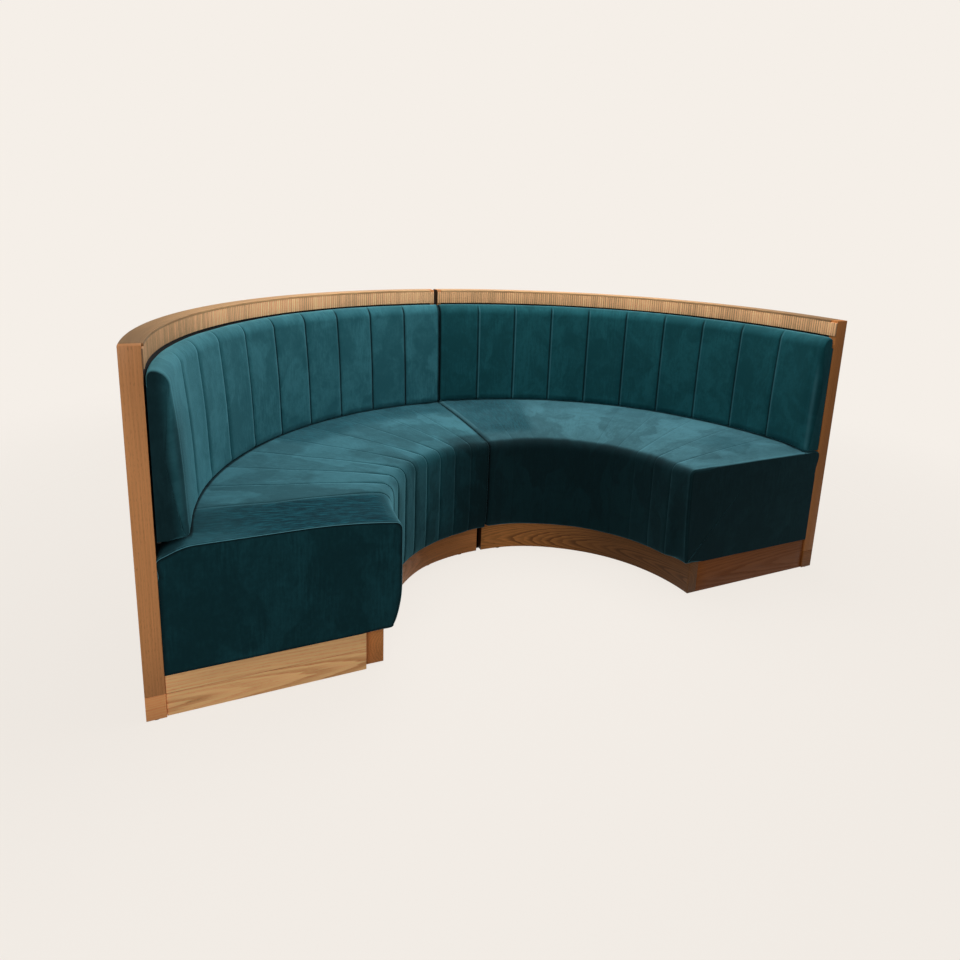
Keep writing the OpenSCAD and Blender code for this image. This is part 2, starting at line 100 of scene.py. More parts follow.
@dataclass(frozen=True)
class BoothSizes:
    """Sizes shared by all pieces. Most are read from the frame, and the rest repeat the part's own."""

    gap: float
    outer_r: float
    frame_r: float
    arc_y: float
    booth_h: float
    post_w: float
    seam_w: float
    foot_top: float
    glide_h: float
    rail_z: float
    band_foot: float
    band_top: float
    plinth_h: float
    plinth_board_r: float
    end_board_y: float
    end_board_t: float
    seat_back_r: float
    hem_z: float
    seat_h: float
    deck_top: float
    pad_z: float
    pad_top: float
    pad_board_top: float
    band_proud: float = 5 * MM
    plinth_front_t: float = 29 * MM
    outer_panel_t: float = 9 * MM
    cushion_gap: float = 4 * MM
    side_t: float = 3 * MM
    hem_r: float = 536 * MM
    box_r: float = 561 * MM
    hem_inner_r: float = 572.5 * MM
    clip_gap: float = 4.8 * MM
    pad_board_t: float = 9 * MM
    pad_foot_t: float = 54 * MM
    pad_head_t: float = 47 * MM
    clearance: float = 0.3 * MM

    @classmethod
    def from_frame(cls) -> "BoothSizes":
        """Reads the sizes that the boxes of the right section's nodes give.

        Returns:
            The booth's sizes.
        """
        def box(name: str) -> tuple[Vector, Vector]:
            """Low and high corner of the box of one of the right section's nodes."""
            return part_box("right_" + name)

        (post, post_end), (seam, seam_end), (band, band_end) = box("end_post"), box("seam_post"), box("reeded_band")
        (board, board_end), (pad, pad_end) = box("plinth_end_board"), box("back_pad_cover")
        (panel, panel_end), front_end = box("seat_side_panels"), box("plinth_front")[1]
        return cls(
            gap=2 * seam.x, outer_r=post_end.x - seam.x, frame_r=post.x - seam.x, arc_y=post.y, booth_h=post_end.z,
            post_w=post_end.y - post.y, seam_w=seam_end.x - seam.x, foot_top=post.z, glide_h=box("glides")[1].z,
            rail_z=box("top_rail")[0].z, band_foot=band.z, band_top=band_end.z, plinth_h=front_end.z,
            plinth_board_r=front_end.y - post.y, end_board_y=board.y - post.y, end_board_t=board_end.y - board.y,
            seat_back_r=panel_end.x - seam.x, hem_z=panel.z, seat_h=box("seat_cover")[1].z,
            deck_top=box("seat_deck")[1].z, pad_z=pad.z, pad_top=pad_end.z, pad_board_top=box("back_pad_board")[1].z)

    @property
    def cushion_reach(self) -> float:
        """How far the cushions stand past the frame at the seam."""
        return (self.gap - self.cushion_gap) / 2

    @property
    def crest_r(self) -> float:
        """Radius of the crests of the reeds and of the rail's nosing."""
        return self.frame_r - self.band_proud

    @property
    def plinth_front_r(self) -> float:
        """Radius of the plinth's front face."""
        return self.plinth_board_r - self.plinth_front_t

    @property
    def pad_back_r(self) -> float:
        """Radius of the back cushion's back."""
        return self.frame_r - self.clip_gap


@dataclass(frozen=True)
class SectionSpace:
    """Carries a section's own space into the frame."""

    side: Side
    sizes: BoothSizes

    def to_frame(self, points: Array) -> Array:
        """Moves points from the section's space: x is shifted by half the gap and given the side's sign.

        Args:
            points: An array of (..., 3) points in the section's space.

        Returns:
            The points in the frame, as an (n, 3) array.
        """
        moved = points.reshape(-1, 3).copy()
        moved[:, 0] = self.side.value * (moved[:, 0] + self.sizes.gap / 2)
        moved[:, 1] += self.sizes.arc_y
        return moved


# Outlines


def rounded_loop(corners: Corners, radius: float, steps: int = 3) -> tuple[Array, Array, Array]:
    """Closed outline whose outward corners are arcs: centre plus radius times the turning normal.

    Args:
        corners: The corners, anticlockwise.
        radius: Radius of the rounded corners. An inward corner stays sharp.
        steps: Number of straights in an arc.

    Returns:
        The points, the outward normals that an inset follows, and 1 on a rounded corner or 0 off it.
    """
    points, normals = [], []
    count = len(corners)
    for i in range(count):
        before, here, after = (np.array(corners[(i + k) % count], float) for k in (-1, 0, 1))
        into, out = (here - before), (after - here)
        n0 = np.array([into[1], -into[0]]) / np.hypot(*into)
        n1 = np.array([out[1], -out[0]]) / np.hypot(*out)
        bisector = (n0 + n1) / (1 + n0 @ n1)
        if into[0] * out[1] - into[1] * out[0] > 0:
            centre = here - bisector * radius
            turn = np.arccos(np.clip(n0 @ n1, -1, 1)) * np.linspace(0, 1, steps + 1)
            across = np.array([-n0[1], n0[0]])
            normal = np.cos(turn)[:, None] * n0 + np.sin(turn)[:, None] * across
            points.append(centre + radius * normal)
            normals.append(normal)
        else:
            points.append(here[None])
            normals.append(bisector[None])
    edge = np.concatenate([np.full(len(p), float(len(p) > 1)) for p in points])
    return np.concatenate(points), np.concatenate(normals), edge


def rectangle(x0: float, x1: float, y0: float, y1: float) -> list[tuple[float, float]]:
    """Corners of a rectangle, anticlockwise."""
    return [(x0, y0), (x1, y0), (x1, y1), (x0, y1)]


def arc_points(centre: tuple[float, float], radius: float, first: float, last: float, steps: int) -> Array:
    """Points on an arc: centre plus radius times (cos, sin) of angles in degrees from first to last."""
    angle = np.radians(np.linspace(first, last, steps + 1))
    return np.array(centre) + radius * np.stack([np.cos(angle), np.sin(angle)], 1)


def resampled(points: Array, count: int) -> Array:
    """A path with points spaced evenly by length, eased by a smooth curve through the given ones.

    Args:
        points: An (n, 2) path.
        count: Number of points wanted.

    Returns:
        A (count, 2) path from the first point to the last.
    """
    length = np.concatenate([[0], np.cumsum(np.hypot(*np.diff(points, axis=0).T))])
    even = np.linspace(0, length[-1], count)
    slope = np.gradient(points, length, axis=0)
    i = np.clip(np.searchsorted(length, even) - 1, 0, len(points) - 2)
    step = (length[i + 1] - length[i])[:, None]
    t = (even - length[i])[:, None] / step
    a, b, m, n = points[i], points[i + 1], slope[i] * step, slope[i + 1] * step
    return (2 * t**3 - 3 * t**2 + 1) * a + (t**3 - 2 * t**2 + t) * m + (3 * t**2 - 2 * t**3) * b + (t**3 - t**2) * n


def path_normals(path: Array) -> Array:
    """Unit normals on the right of a path's direction of travel: its tangents turned by a quarter."""
    tangent = np.gradient(path, axis=0)
    tangent /= np.hypot(*tangent.T)[:, None]
    return np.stack([tangent[:, 1], -tangent[:, 0]], 1)


def smooth_step(x: Array | float, start: float, run: float) -> Array | float:
    """Goes from 0 at start to 1 a run further, back if the run is negative, with level ends: 3 u^2 - 2 u^3."""
    u = np.clip((x - start) / run, 0, 1)
    return u * u * (3 - 2 * u)


def bell(x: Array | float, centre: float, width: float, height: float = 1.0) -> Array | float:
    """Rises to its height at the centre and falls off over the width: height exp(-((x - centre) / width)^2)."""
    return height * np.exp(-(((x - centre) / width) ** 2))


def between_rows(values: Array, at: Array) -> Array:
    """Values between the rows of an array, by the cubic through four rows whose slopes are central differences.

    Args:
        values: The rows.
        at: Where to read them, from 0 to the number of rows less 1.

    Returns:
        One row for each place.
    """
    last = len(values) - 1
    start = np.clip(np.floor(at).astype(int), 0, last - 1)
    t = (at - start)[:, None]
    before, here, after, beyond = (values[np.clip(start + k, 0, last)] for k in (-1, 0, 1, 2))
    return here + 0.5 * t * (after - before + t * (2 * before - 5 * here + 4 * after - beyond
                                                   + t * (3 * (here - after) + beyond - before)))


# Meshes


def ring_faces(rings: int, around: int, closed: bool = True) -> Array:
    """Quads between successive rings of points.

    Args:
        rings: Number of rings.
        around: Number of points in a ring.
        closed: Whether the last point of a ring joins its first.

    Returns:
        An (n, 4) array of point numbers.
    """
    ring, point = np.meshgrid(np.arange(rings - 1), np.arange(around if closed else around - 1), indexing="ij")
    here, after = ring * around + point, ring * around + (point + 1) % around
    return np.stack([here, after, after + around, here + around], -1).reshape(-1, 4)


def linked(name: str, data: bpy.types.ID) -> bpy.types.Object:
    """Makes an object and links it to the scene."""
    thing = bpy.data.objects.new(name, data)
    bpy.context.scene.collection.objects.link(thing)
    return thing


def ring_solid(name: str, space: SectionSpace, rings: Array, values: dict[str, Array]) -> bpy.types.Object:
    """Makes a closed mesh from successive rings, whose faces point outwards, told by the sign of its volume.

    Args:
        name: Name of the piece, without the section's.
        space: The section's space.
        rings: (rings, around, 3) points in that space. A face closes the first ring, and another the last.
        values: Values for each point, kept as attributes: (n,) numbers or (n, 3) vectors.

    Returns:
        The new object, linked to the scene.
    """
    count, around = rings.shape[:2]
    points, quads = space.to_frame(rings), ring_faces(count, around)
    caps = np.arange(around)[::-1], (count - 1) * around + np.arange(around)
    a, b, c, d = (points[quads[:, k]] for k in range(4))
    volume = np.einsum("ij,ij->", a, np.cross(b, c)) + np.einsum("ij,ij->", a, np.cross(c, d))
    for cap in caps:
        first, rest = points[cap[0]], points[cap[1:]]
        volume += np.einsum("ij,ij->", np.broadcast_to(first, rest[:-1].shape), np.cross(rest[:-1], rest[1:]))
    order = -1 if volume < 0 else 1
    faces = [*quads[:, ::order].tolist(), *(cap[::order].tolist() for cap in caps)]
    name = space.side.prefix + name
    mesh = bpy.data.meshes.new(name)
    mesh.from_pydata(points.tolist(), [], faces)
    for key, value in values.items():
        kind, part = ("FLOAT_VECTOR", "vector") if value.ndim == 2 else ("FLOAT", "value")
        mesh.attributes.new(key, kind, "POINT").data.foreach_set(part, value.astype(np.float32).ravel())
    mesh.polygons.foreach_set("use_smooth", np.ones(len(faces), bool))
    mesh.update()
    return linked(name, mesh)


def place(piece: bpy.types.Object, finish: bpy.types.Material, slot: str, nodes: Sequence[str]) -> bpy.types.Object:
    """Gives a piece its finish, rides it on the one body and hides the nodes that it stands for.

    Args:
        piece: The new piece.
        finish: Its material.
        slot: The record's material slot. It is not used.
        nodes: Names of the nodes that it replaces.

    Returns:
        The same piece.
    """
    piece.data.materials.append(finish)
    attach(piece, "root")
    if nodes:
        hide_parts(*nodes)
    log.info("%s: %d faces, stands for %s", piece.name, len(piece.data.polygons), ", ".join(nodes) or "itself")
    return piece


@dataclass(frozen=True)
class EndRings:
    """Rings of a swept board whose two ends are rounded like its edges.

    Ring by ring: how far the outline is inset, how far each end plane is moved in, and the share of the way.
    """

    inset: Array
    first: Array
    last: Array
    share: Array

    @classmethod
    def rounded(cls, radius: float, count: int, steps: int = 3) -> "EndRings":
        """Rings that round both ends: the inset is radius (1 - sin b), the plane moves radius (1 - cos b).

        Args:
            radius: Radius of the rounded ends.
            count: Number of stretches between the ends.
            steps: Number of straights in the rounding.

        Returns:
            The rings.
        """
        turn = np.linspace(0, QUARTER, steps + 1)
        inset, move = radius * (1 - np.sin(turn)), radius * (1 - np.cos(turn))
        middle = np.zeros(count - 1)
        held = np.full(count - 1 + len(turn), radius)
        return cls(
            inset=np.concatenate([inset, middle, inset[::-1]]),
            first=np.concatenate([move, held]),
            last=np.concatenate([held, move[::-1]]),
            share=np.concatenate([np.zeros(len(turn)), np.arange(1, count) / count, np.ones(len(turn))]),
        )


@dataclass(frozen=True)
class Joinery:
    """Makes a section's wooden pieces: rounded boards, straight or bent, that know the run of their grain."""

    space: SectionSpace
    arris: float = 1.2 * MM

    def bent(self, name: str, corners: Corners, end_y: float, seam_x: float, grain: Grain, stretches: int = 96,
             groove: Callable[[Array, Array], Array] | None = None) -> bpy.types.Object:
        """A board bent round the arc: each point of its (radius, height) outline keeps its radius, and its
        angle runs evenly from asin(end_y / r) to a quarter less asin(seam_x / r), so both ends are plane.

        Args:
            name: Name of the piece.
            corners: Corners of the outline, anticlockwise.
            end_y: Distance of the first end from the end plane.
            seam_x: Distance of the last end from the seam plane.
            grain: Which way the grain runs.
            stretches: Number of straights along the arc.
            groove: Gives how far points move out, from their radii and their shares of the way.

        Returns:
            The piece.
        """
        loop, normals, edge = rounded_loop(corners, self.arris)
        rings = EndRings.rounded(self.arris, stretches)
        flat = loop[None] - normals[None] * rings.inset[:, None, None]
        r, z = flat[..., 0], flat[..., 1]
        start = np.arcsin((end_y + rings.first[:, None]) / r)
        stop = QUARTER - np.arcsin((seam_x + rings.last[:, None]) / r)
        angle = start + (stop - start) * rings.share[:, None]
        share = np.broadcast_to(rings.share[:, None], r.shape)
        if groove is not None:
            r = r + groove(r, share)
        points = np.stack([r * np.cos(angle), r * np.sin(angle), z], -1)
        run = angle * loop[:, 0].mean()
        along = (run, z, r) if grain is Grain.ALONG else (z, run, r)
        worn = np.maximum(edge[None], (rings.inset > 0)[:, None])
        return self._closed(name, points, along, worn, {"Run": share.ravel()})

    def straight(self, name: str, corners: Corners, ends: tuple[float, float], axes: str,
                 crown_cut: bool = False) -> bpy.types.Object:
        """A straight board: its outline is carried in a straight line between its two ends.

        Args:
            name: Name of the piece.
            corners: Corners of the outline, anticlockwise.
            ends: Places of the two ends along the path.
            axes: Axes of the outline's two coordinates and of the path, such as "xyz" for an upright post.
                The grain runs along the path.
            crown_cut: Whether the outline's second coordinate, not its first, lies across the grain.

        Returns:
            The piece.
        """
        loop, normals, edge = rounded_loop(corners, self.arris)
        rings = EndRings.rounded(self.arris, 12)
        flat = loop[None] - normals[None] * rings.inset[:, None, None]
        start, stop = ends[0] + rings.first, ends[1] - rings.last
        run = np.broadcast_to((start + (stop - start) * rings.share)[:, None], flat.shape[:2])
        given = {axes[0]: flat[..., 0], axes[1]: flat[..., 1], axes[2]: run}
        points = np.stack([given[axis] for axis in "xyz"], -1)
        worn = np.maximum(edge[None], (rings.inset > 0)[:, None])
        side_ways = (flat[..., 1], flat[..., 0]) if crown_cut else (flat[..., 0], flat[..., 1])
        return self._closed(name, points, (run, *side_ways), worn, {})

    def _closed(self, name: str, points: Array, along: tuple[Array, Array, Array], worn: Array,
                values: dict[str, Array]) -> bpy.types.Object:
        """Closes rings of points and keeps the grain's run and the arrises, which carry a painted highlight, as
        attributes.
        """
        grain = np.stack([np.broadcast_to(part, worn.shape) for part in along], -1).reshape(-1, 3)
        return ring_solid(name, self.space, points, {"Grain": grain, "Arris": worn.ravel(), **values})


# Node trees


class Tree:
    """Builds a node tree in few words."""

    def __init__(self, tree: bpy.types.NodeTree) -> None:
        """Starts from an empty tree."""
        self.tree = tree
        tree.nodes.clear()

    def add(self, kind: str, inputs: dict | None = None, **settings: object) -> bpy.types.Node:
        """Adds a node, sets it up and feeds its inputs.

        Args:
            kind: The node's type, without its first words.
            inputs: Values or sockets by the name or number of the input.
            settings: Settings of the node itself.

        Returns:
            The node.
        """
        prefix = "" if kind.startswith("NodeGroup") else "ShaderNode"
        node = self.tree.nodes.new(prefix + kind)
        for key, value in settings.items():
            setattr(node, key, value)
        self.feed(node, inputs or {})
        return node

    def feed(self, node: bpy.types.Node, inputs: dict) -> None:
        """Sets or links inputs of a node.

        Args:
            node: The node.
            inputs: Values or sockets by the name or number of the input.
        """
        for key, value in inputs.items():
            if isinstance(value, bpy.types.NodeSocket):
                self.tree.links.new(value, node.inputs[key])
            else:
                node.inputs[key].default_value = value

    def math(self, operation: str, *values: Value) -> bpy.types.NodeSocket:
        """Result of a Math node on numbers or sockets."""
        return self.add("Math", dict(enumerate(values)), operation=operation).outputs[0]

    def product(self, *factors: Value) -> bpy.types.NodeSocket:
        """Product of numbers or sockets."""
        return functools.reduce(functools.partial(self.math, "MULTIPLY"), factors)

    def total(self, *terms: Value) -> bpy.types.NodeSocket:
        """Sum of numbers or sockets."""
        return functools.reduce(functools.partial(self.math, "ADD"), terms)

    def distance(self, value: Value, centre: float) -> bpy.types.NodeSocket:
        """How far a value is from a centre."""
        return self.math("ABSOLUTE", self.math("SUBTRACT", value, centre))

    def vector(self, operation: str, *values: Value) -> bpy.types.NodeSocket:
        """Result of a Vector Math node on vectors or sockets."""
        return self.add("VectorMath", dict(enumerate(values)), operation=operation).outputs[0]

    def scaled(self, colour: Value, factor: Value) -> bpy.types.NodeSocket:
        """A colour times a number."""
        return self.add("VectorMath", {0: colour, "Scale": factor}, operation="SCALE").outputs[0]

    def parts(self, vector: Value) -> bpy.types.bpy_prop_collection:
        """The three coordinates of a vector."""
        return self.add("SeparateXYZ", {0: vector}).outputs

    def noise(self, vector: Value, stretch: tuple[float, float, float], detail: float = 2.0,
              rough: float = 0.5) -> bpy.types.NodeSocket:
        """Noise from 0 to 1 with its own number of features per metre along each axis."""
        scaled = self.vector("MULTIPLY", vector, stretch)
        return self.add("TexNoise", {"Vector": scaled, "Scale": 1.0, "Detail": detail, "Roughness": rough}).outputs[0]

    def random(self, number: Value) -> bpy.types.NodeSocket:
        """A random value from 0 to 1 that belongs to a number."""
        return self.add("TexWhiteNoise", {"W": number}, noise_dimensions="1D").outputs["Value"]

    def ramp(self, value: Value, low: float, high: float, out_low: float = 0.0,
             out_high: float = 1.0) -> bpy.types.NodeSocket:
        """Smooth step from out_low, at low and below, to out_high, at high and above."""
        node = self.add("MapRange", {"Value": value, 1: low, 2: high, 3: out_low, 4: out_high},
                        interpolation_type="SMOOTHSTEP")
        return node.outputs[0]

    def mix(self, factor: Value, first: Value, second: Value) -> bpy.types.NodeSocket:
        """Mix of two colours."""
        return self.add("Mix", {0: factor, 6: rgba(first), 7: rgba(second)}, data_type="RGBA").outputs[2]

    def either(self, factor: Value, first: bpy.types.Node, second: bpy.types.Node) -> bpy.types.Node:
        """Mix of two shaders."""
        return self.add("MixShader", {0: factor, 1: first.outputs[0], 2: second.outputs[0]})

    def attribute(self, name: str, output: str = "Fac") -> bpy.types.NodeSocket:
        """An attribute of the piece."""
        return self.add("Attribute", attribute_name=name).outputs[output]

    def object_place(self) -> bpy.types.NodeSocket:
        """Object coordinates."""
        return self.add("TexCoord").outputs["Object"]

    def group(self, group: bpy.types.NodeTree, inputs: dict) -> bpy.types.bpy_prop_collection:
        """Outputs of a node group whose inputs are fed."""
        return self.add("Group", inputs, node_tree=group).outputs


def rgba(colour: Value) -> Value:
    """A colour with its alpha, or the socket that was given."""
    return (*colour, 1.0) if isinstance(colour, tuple) else colour


def new_material(name: str) -> tuple[bpy.types.Material, Tree]:
    """Makes a material, and the tree to build it in."""
    material = bpy.data.materials.new(name)
    material.use_nodes = True
    return material, Tree(material.node_tree)


def new_group(name: str, vector: str, numbers: Sequence[str],
              outputs: Sequence[str]) -> tuple[Tree, bpy.types.bpy_prop_collection, bpy.types.Node]:
    """Makes an empty node group.

    Args:
        name: Name of the group.
        vector: Name of its vector input.
        numbers: Names of its number inputs.
        outputs: Names of its outputs, all numbers.

    Returns:
        The tree, the sockets of its inputs, and its output node.
    """
    group = bpy.data.node_groups.new(name, "ShaderNodeTree")
    for label, kind in {vector: "Vector", **dict.fromkeys(numbers, "Float")}.items():
        group.interface.new_socket(label, in_out="INPUT", socket_type="NodeSocket" + kind)
    for label in outputs:
        group.interface.new_socket(label, in_out="OUTPUT", socket_type="NodeSocketFloat")
    tree = Tree(group)
    return tree, tree.add("NodeGroupInput").outputs, tree.add("NodeGroupOutput")


def wood_figure_group() -> bpy.types.NodeTree:
    """Rings, pores and fibres of a board cut from a log.

    A point's distance from the log's slightly tilted and wavering axis, over the width of a ring, gives the
    rings; a steep rise and a slow fall in each ring give early and late wood. Pores are short dashes along
    the grain, crowded in the early wood. Fibres are long fine streaks.

    Returns:
        The group. Its Grain input is (along, across, through) the grain, in metres.
    """
    tree, given, result = new_group(
        "WoodFigure", "Grain", ("Seed", "Pith Across", "Pith Depth", "Tilt", "Ring Width", "Waver"),
        ("Rings", "Pores", "Fibres", "Tone"))
    shift = tree.add("CombineXYZ", dict.fromkeys("XYZ", given["Seed"])).outputs[0]
    grain = tree.vector("ADD", given["Grain"], shift)
    parts = tree.parts(given["Grain"])

    def sway(away: float) -> bpy.types.NodeSocket:
        """Wavering of the log's axis: a slow noise, read at a place of its own."""
        slow = tree.noise(tree.vector("ADD", grain, (away,) * 3), (1.6, 5.0, 5.0), 1.5)
        return tree.product(tree.math("SUBTRACT", slow, 0.5), given["Waver"])

    across = tree.total(tree.math("SUBTRACT", parts[1], given["Pith Across"]), sway(0.0))
    depth = tree.total(tree.math("SUBTRACT", parts[2], given["Pith Depth"]), sway(7.3),
                       tree.product(parts[0], given["Tilt"]))
    radius = tree.math("SQRT", tree.total(tree.product(across, across), tree.product(depth, depth)))
    jitter = tree.product(tree.noise(grain, (5.0, 90.0, 90.0)), 0.9)
    ring = tree.total(tree.math("DIVIDE", radius, given["Ring Width"]), jitter)
    part = tree.math("FRACT", ring)
    early = tree.product(tree.ramp(part, 0.0, 0.1), tree.ramp(part, 0.18, 0.85, 1.0, 0.0))
    strength = tree.random(tree.math("FLOOR", ring))
    dashes = tree.ramp(tree.noise(grain, (70.0, 1300.0, 1300.0), 1.0), 0.56, 0.68)
    tree.feed(result, {
        "Rings": tree.product(early, tree.ramp(strength, 0.0, 1.0, 0.35, 1.0)),
        "Pores": tree.product(dashes, tree.ramp(early, 0.0, 1.0, 0.3, 1.0)),
        "Fibres": tree.noise(grain, (6.0, 420.0, 420.0), 3.0, 0.6),
        "Tone": tree.noise(grain, (1.1, 7.0, 7.0))})
    return tree.tree


def nap_group() -> bpy.types.NodeTree:
    """How the pile of velvet lies: brushed patches with crisp and soft edges, streaks along the channels, and flecks.

    Returns:
        The group. Its Cloth input is (along the channel, across it, number of the channel), in metres. The
        numbers of end panels start at PANEL_NUMBER, and their pile lies more evenly.
    """
    tree, given, result = new_group("VelvetNap", "Cloth", ("Seed", "Patches"), ("Lie", "Streaks", "Pile"))
    parts = tree.parts(given["Cloth"])
    own = tree.random(tree.total(tree.math("FLOOR", parts[2]), given["Seed"]))
    flat = tree.add("CombineXYZ", {"X": parts[0], "Y": parts[1], "Z": given["Seed"]}).outputs[0]
    bend = tree.add("TexNoise", {"Vector": flat, "Scale": 6.0, "Detail": 3.0}).outputs["Color"]
    bend = tree.vector("MULTIPLY", tree.vector("SUBTRACT", bend, (0.5,) * 3), (0.20, 0.20, 0.0))
    bent = tree.vector("ADD", flat, bend)
    wiped = tree.ramp(tree.noise(bent, (3.4, 6.5, 1.0), 1.0), 0.47, 0.53)
    cloud = tree.ramp(tree.noise(bent, (14.0, 20.0, 1.0), 4.0, 0.6), 0.25, 0.75)
    streaks = tree.ramp(tree.noise(flat, (14.0, 150.0, 1.0), 3.0, 0.65), 0.3, 0.7)
    brushed = tree.ramp(tree.noise(bent, (5.0, 8.0, 3.0), 1.0), 0.45, 0.7, 0.25, 1.0)
    fine = tree.ramp(tree.noise(flat, (60.0, 90.0, 1.0), 3.0, 0.7), 0.25, 0.75)
    unbrushed = 0.2
    patches = tree.total(tree.product(wiped, given["Patches"]), tree.product(cloud, 0.3))
    cover = tree.ramp(parts[2], PANEL_NUMBER - 5.5, PANEL_NUMBER - 0.5, 1.0, 0.6)
    patches = tree.product(cover, tree.math("SUBTRACT", patches, unbrushed))
    tree.feed(result, {
        "Lie": tree.total(unbrushed, patches, tree.product(streaks, brushed, 0.24), tree.product(fine, 0.16),
                          tree.product(own, 0.12)),
        "Streaks": tree.ramp(tree.noise(flat, (26.0, 230.0, 1.0), 4.0, 0.7), 0.40, 0.68),
        "Pile": tree.add("TexNoise", {"Vector": flat, "Scale": 1100.0, "Detail": 1.0}).outputs[0]})
    return tree.tree


@dataclass(frozen=True)
class Cut:
    """How a board was cut from its log: where the pith lies, how the log tilts, and its rings' width and waver."""

    pith_across: float
    pith_depth: float
    tilt: float
    ring_width: float
    waver: float


@dataclass(frozen=True)
class OakFinish:
    """Stained and lacquered oak.

    A joint line runs at joint_z, if that is given. Painted shade darkens the piece towards its end: the tone starts
    from end_tone and is full at the end of end_reach, both in shares of the way along the piece. Within slot_half
    of the sections' middle it is dark with painted shade.
    """

    name: str
    light: Colour
    dark: Colour
    cut: Cut
    seed: float
    ring_share: float = 0.75
    reeds: int = 0
    slot_half: float = 7.8 * MM
    fibre_share: float = 0.18
    joint_z: float = 0.0
    end_tone: float = 1.0
    end_reach: tuple[float, float] = (0.0, 0.4)

    def material(self, figure: bpy.types.NodeTree) -> bpy.types.Material:
        """Late wood in the light colour, early wood and pores in the dark one, a painted highlight on the arrises,
        painted shade in the slot, in the reeds' grooves and towards the end.

        Args:
            figure: The wood figure group.

        Returns:
            The material.
        """
        material, tree = new_material(self.name)
        wood = tree.group(figure, {
            "Grain": tree.attribute("Grain", "Vector"), "Seed": self.seed, "Pith Across": self.cut.pith_across,
            "Pith Depth": self.cut.pith_depth, "Tilt": self.cut.tilt, "Ring Width": self.cut.ring_width,
            "Waver": self.cut.waver})
        at = tree.parts(tree.object_place())
        rings = tree.product(wood["Rings"], self.ring_share)
        shades = [tree.ramp(wood["Fibres"], 0.25, 0.75, 1 - self.fibre_share, 1 + 0.9 * self.fibre_share)]
        if self.joint_z:
            above = self.joint_z, self.joint_z + 1 * MM
            rings = tree.product(rings, tree.ramp(at[2], *above, 1.0, 0.4))
            shades += [tree.ramp(at[2], *above, 1.0, 0.94),
                       tree.ramp(tree.distance(at[2], self.joint_z), 0.6 * MM, 1.4 * MM, 0.62, 1.0)]
        shades.append(tree.ramp(wood["Tone"], 0.3, 0.7, 0.86, 1.12))
        if self.reeds:
            run = tree.product(tree.attribute("Run"), float(self.reeds))
            own = tree.random(tree.math("FLOOR", run))
            # Painted shade in the grooves between the reeds.
            off = tree.distance(tree.math("FRACT", run), 0.5)
            shades += [tree.ramp(own, 0.0, 1.0, 0.86, 1.08), tree.ramp(off, 0.30, 0.48, 1.0, 0.42)]
        # Painted highlight on the arrises.
        shades.append(tree.ramp(tree.attribute("Arris"), 0.2, 1.0, 1.0, 1.5))
        # Painted shade towards the piece's end.
        if self.end_tone != 1.0:
            shades.append(tree.ramp(tree.attribute("Run"), *self.end_reach, self.end_tone, 1.0))
        # Painted shade in the slot between the sections.
        shades += [tree.ramp(tree.distance(at[0], 0.0), self.slot_half, self.slot_half + 1.5 * MM, 0.12, 1.0),
                   tree.ramp(wood["Pores"], 0.0, 1.0, 1.0, 0.7)]
        height = tree.math("SUBTRACT", tree.product(wood["Fibres"], 0.25), wood["Pores"])
        bump = tree.add("Bump", {"Height": height, "Strength": 0.35, "Distance": 0.25 * MM})
        shader = tree.add("BsdfPrincipled", {
            "Base Color": tree.scaled(tree.mix(rings, self.light, self.dark), tree.product(*shades)),
            "Roughness": tree.ramp(tree.total(wood["Pores"], wood["Rings"]), 0.0, 1.4, 0.42, 0.62),
            "Normal": bump.outputs[0], "Coat Weight": 0.05, "Coat Roughness": 0.35, "Specular IOR Level": 0.2})
        tree.add("OutputMaterial", {"Surface": shader.outputs[0]})
        return material


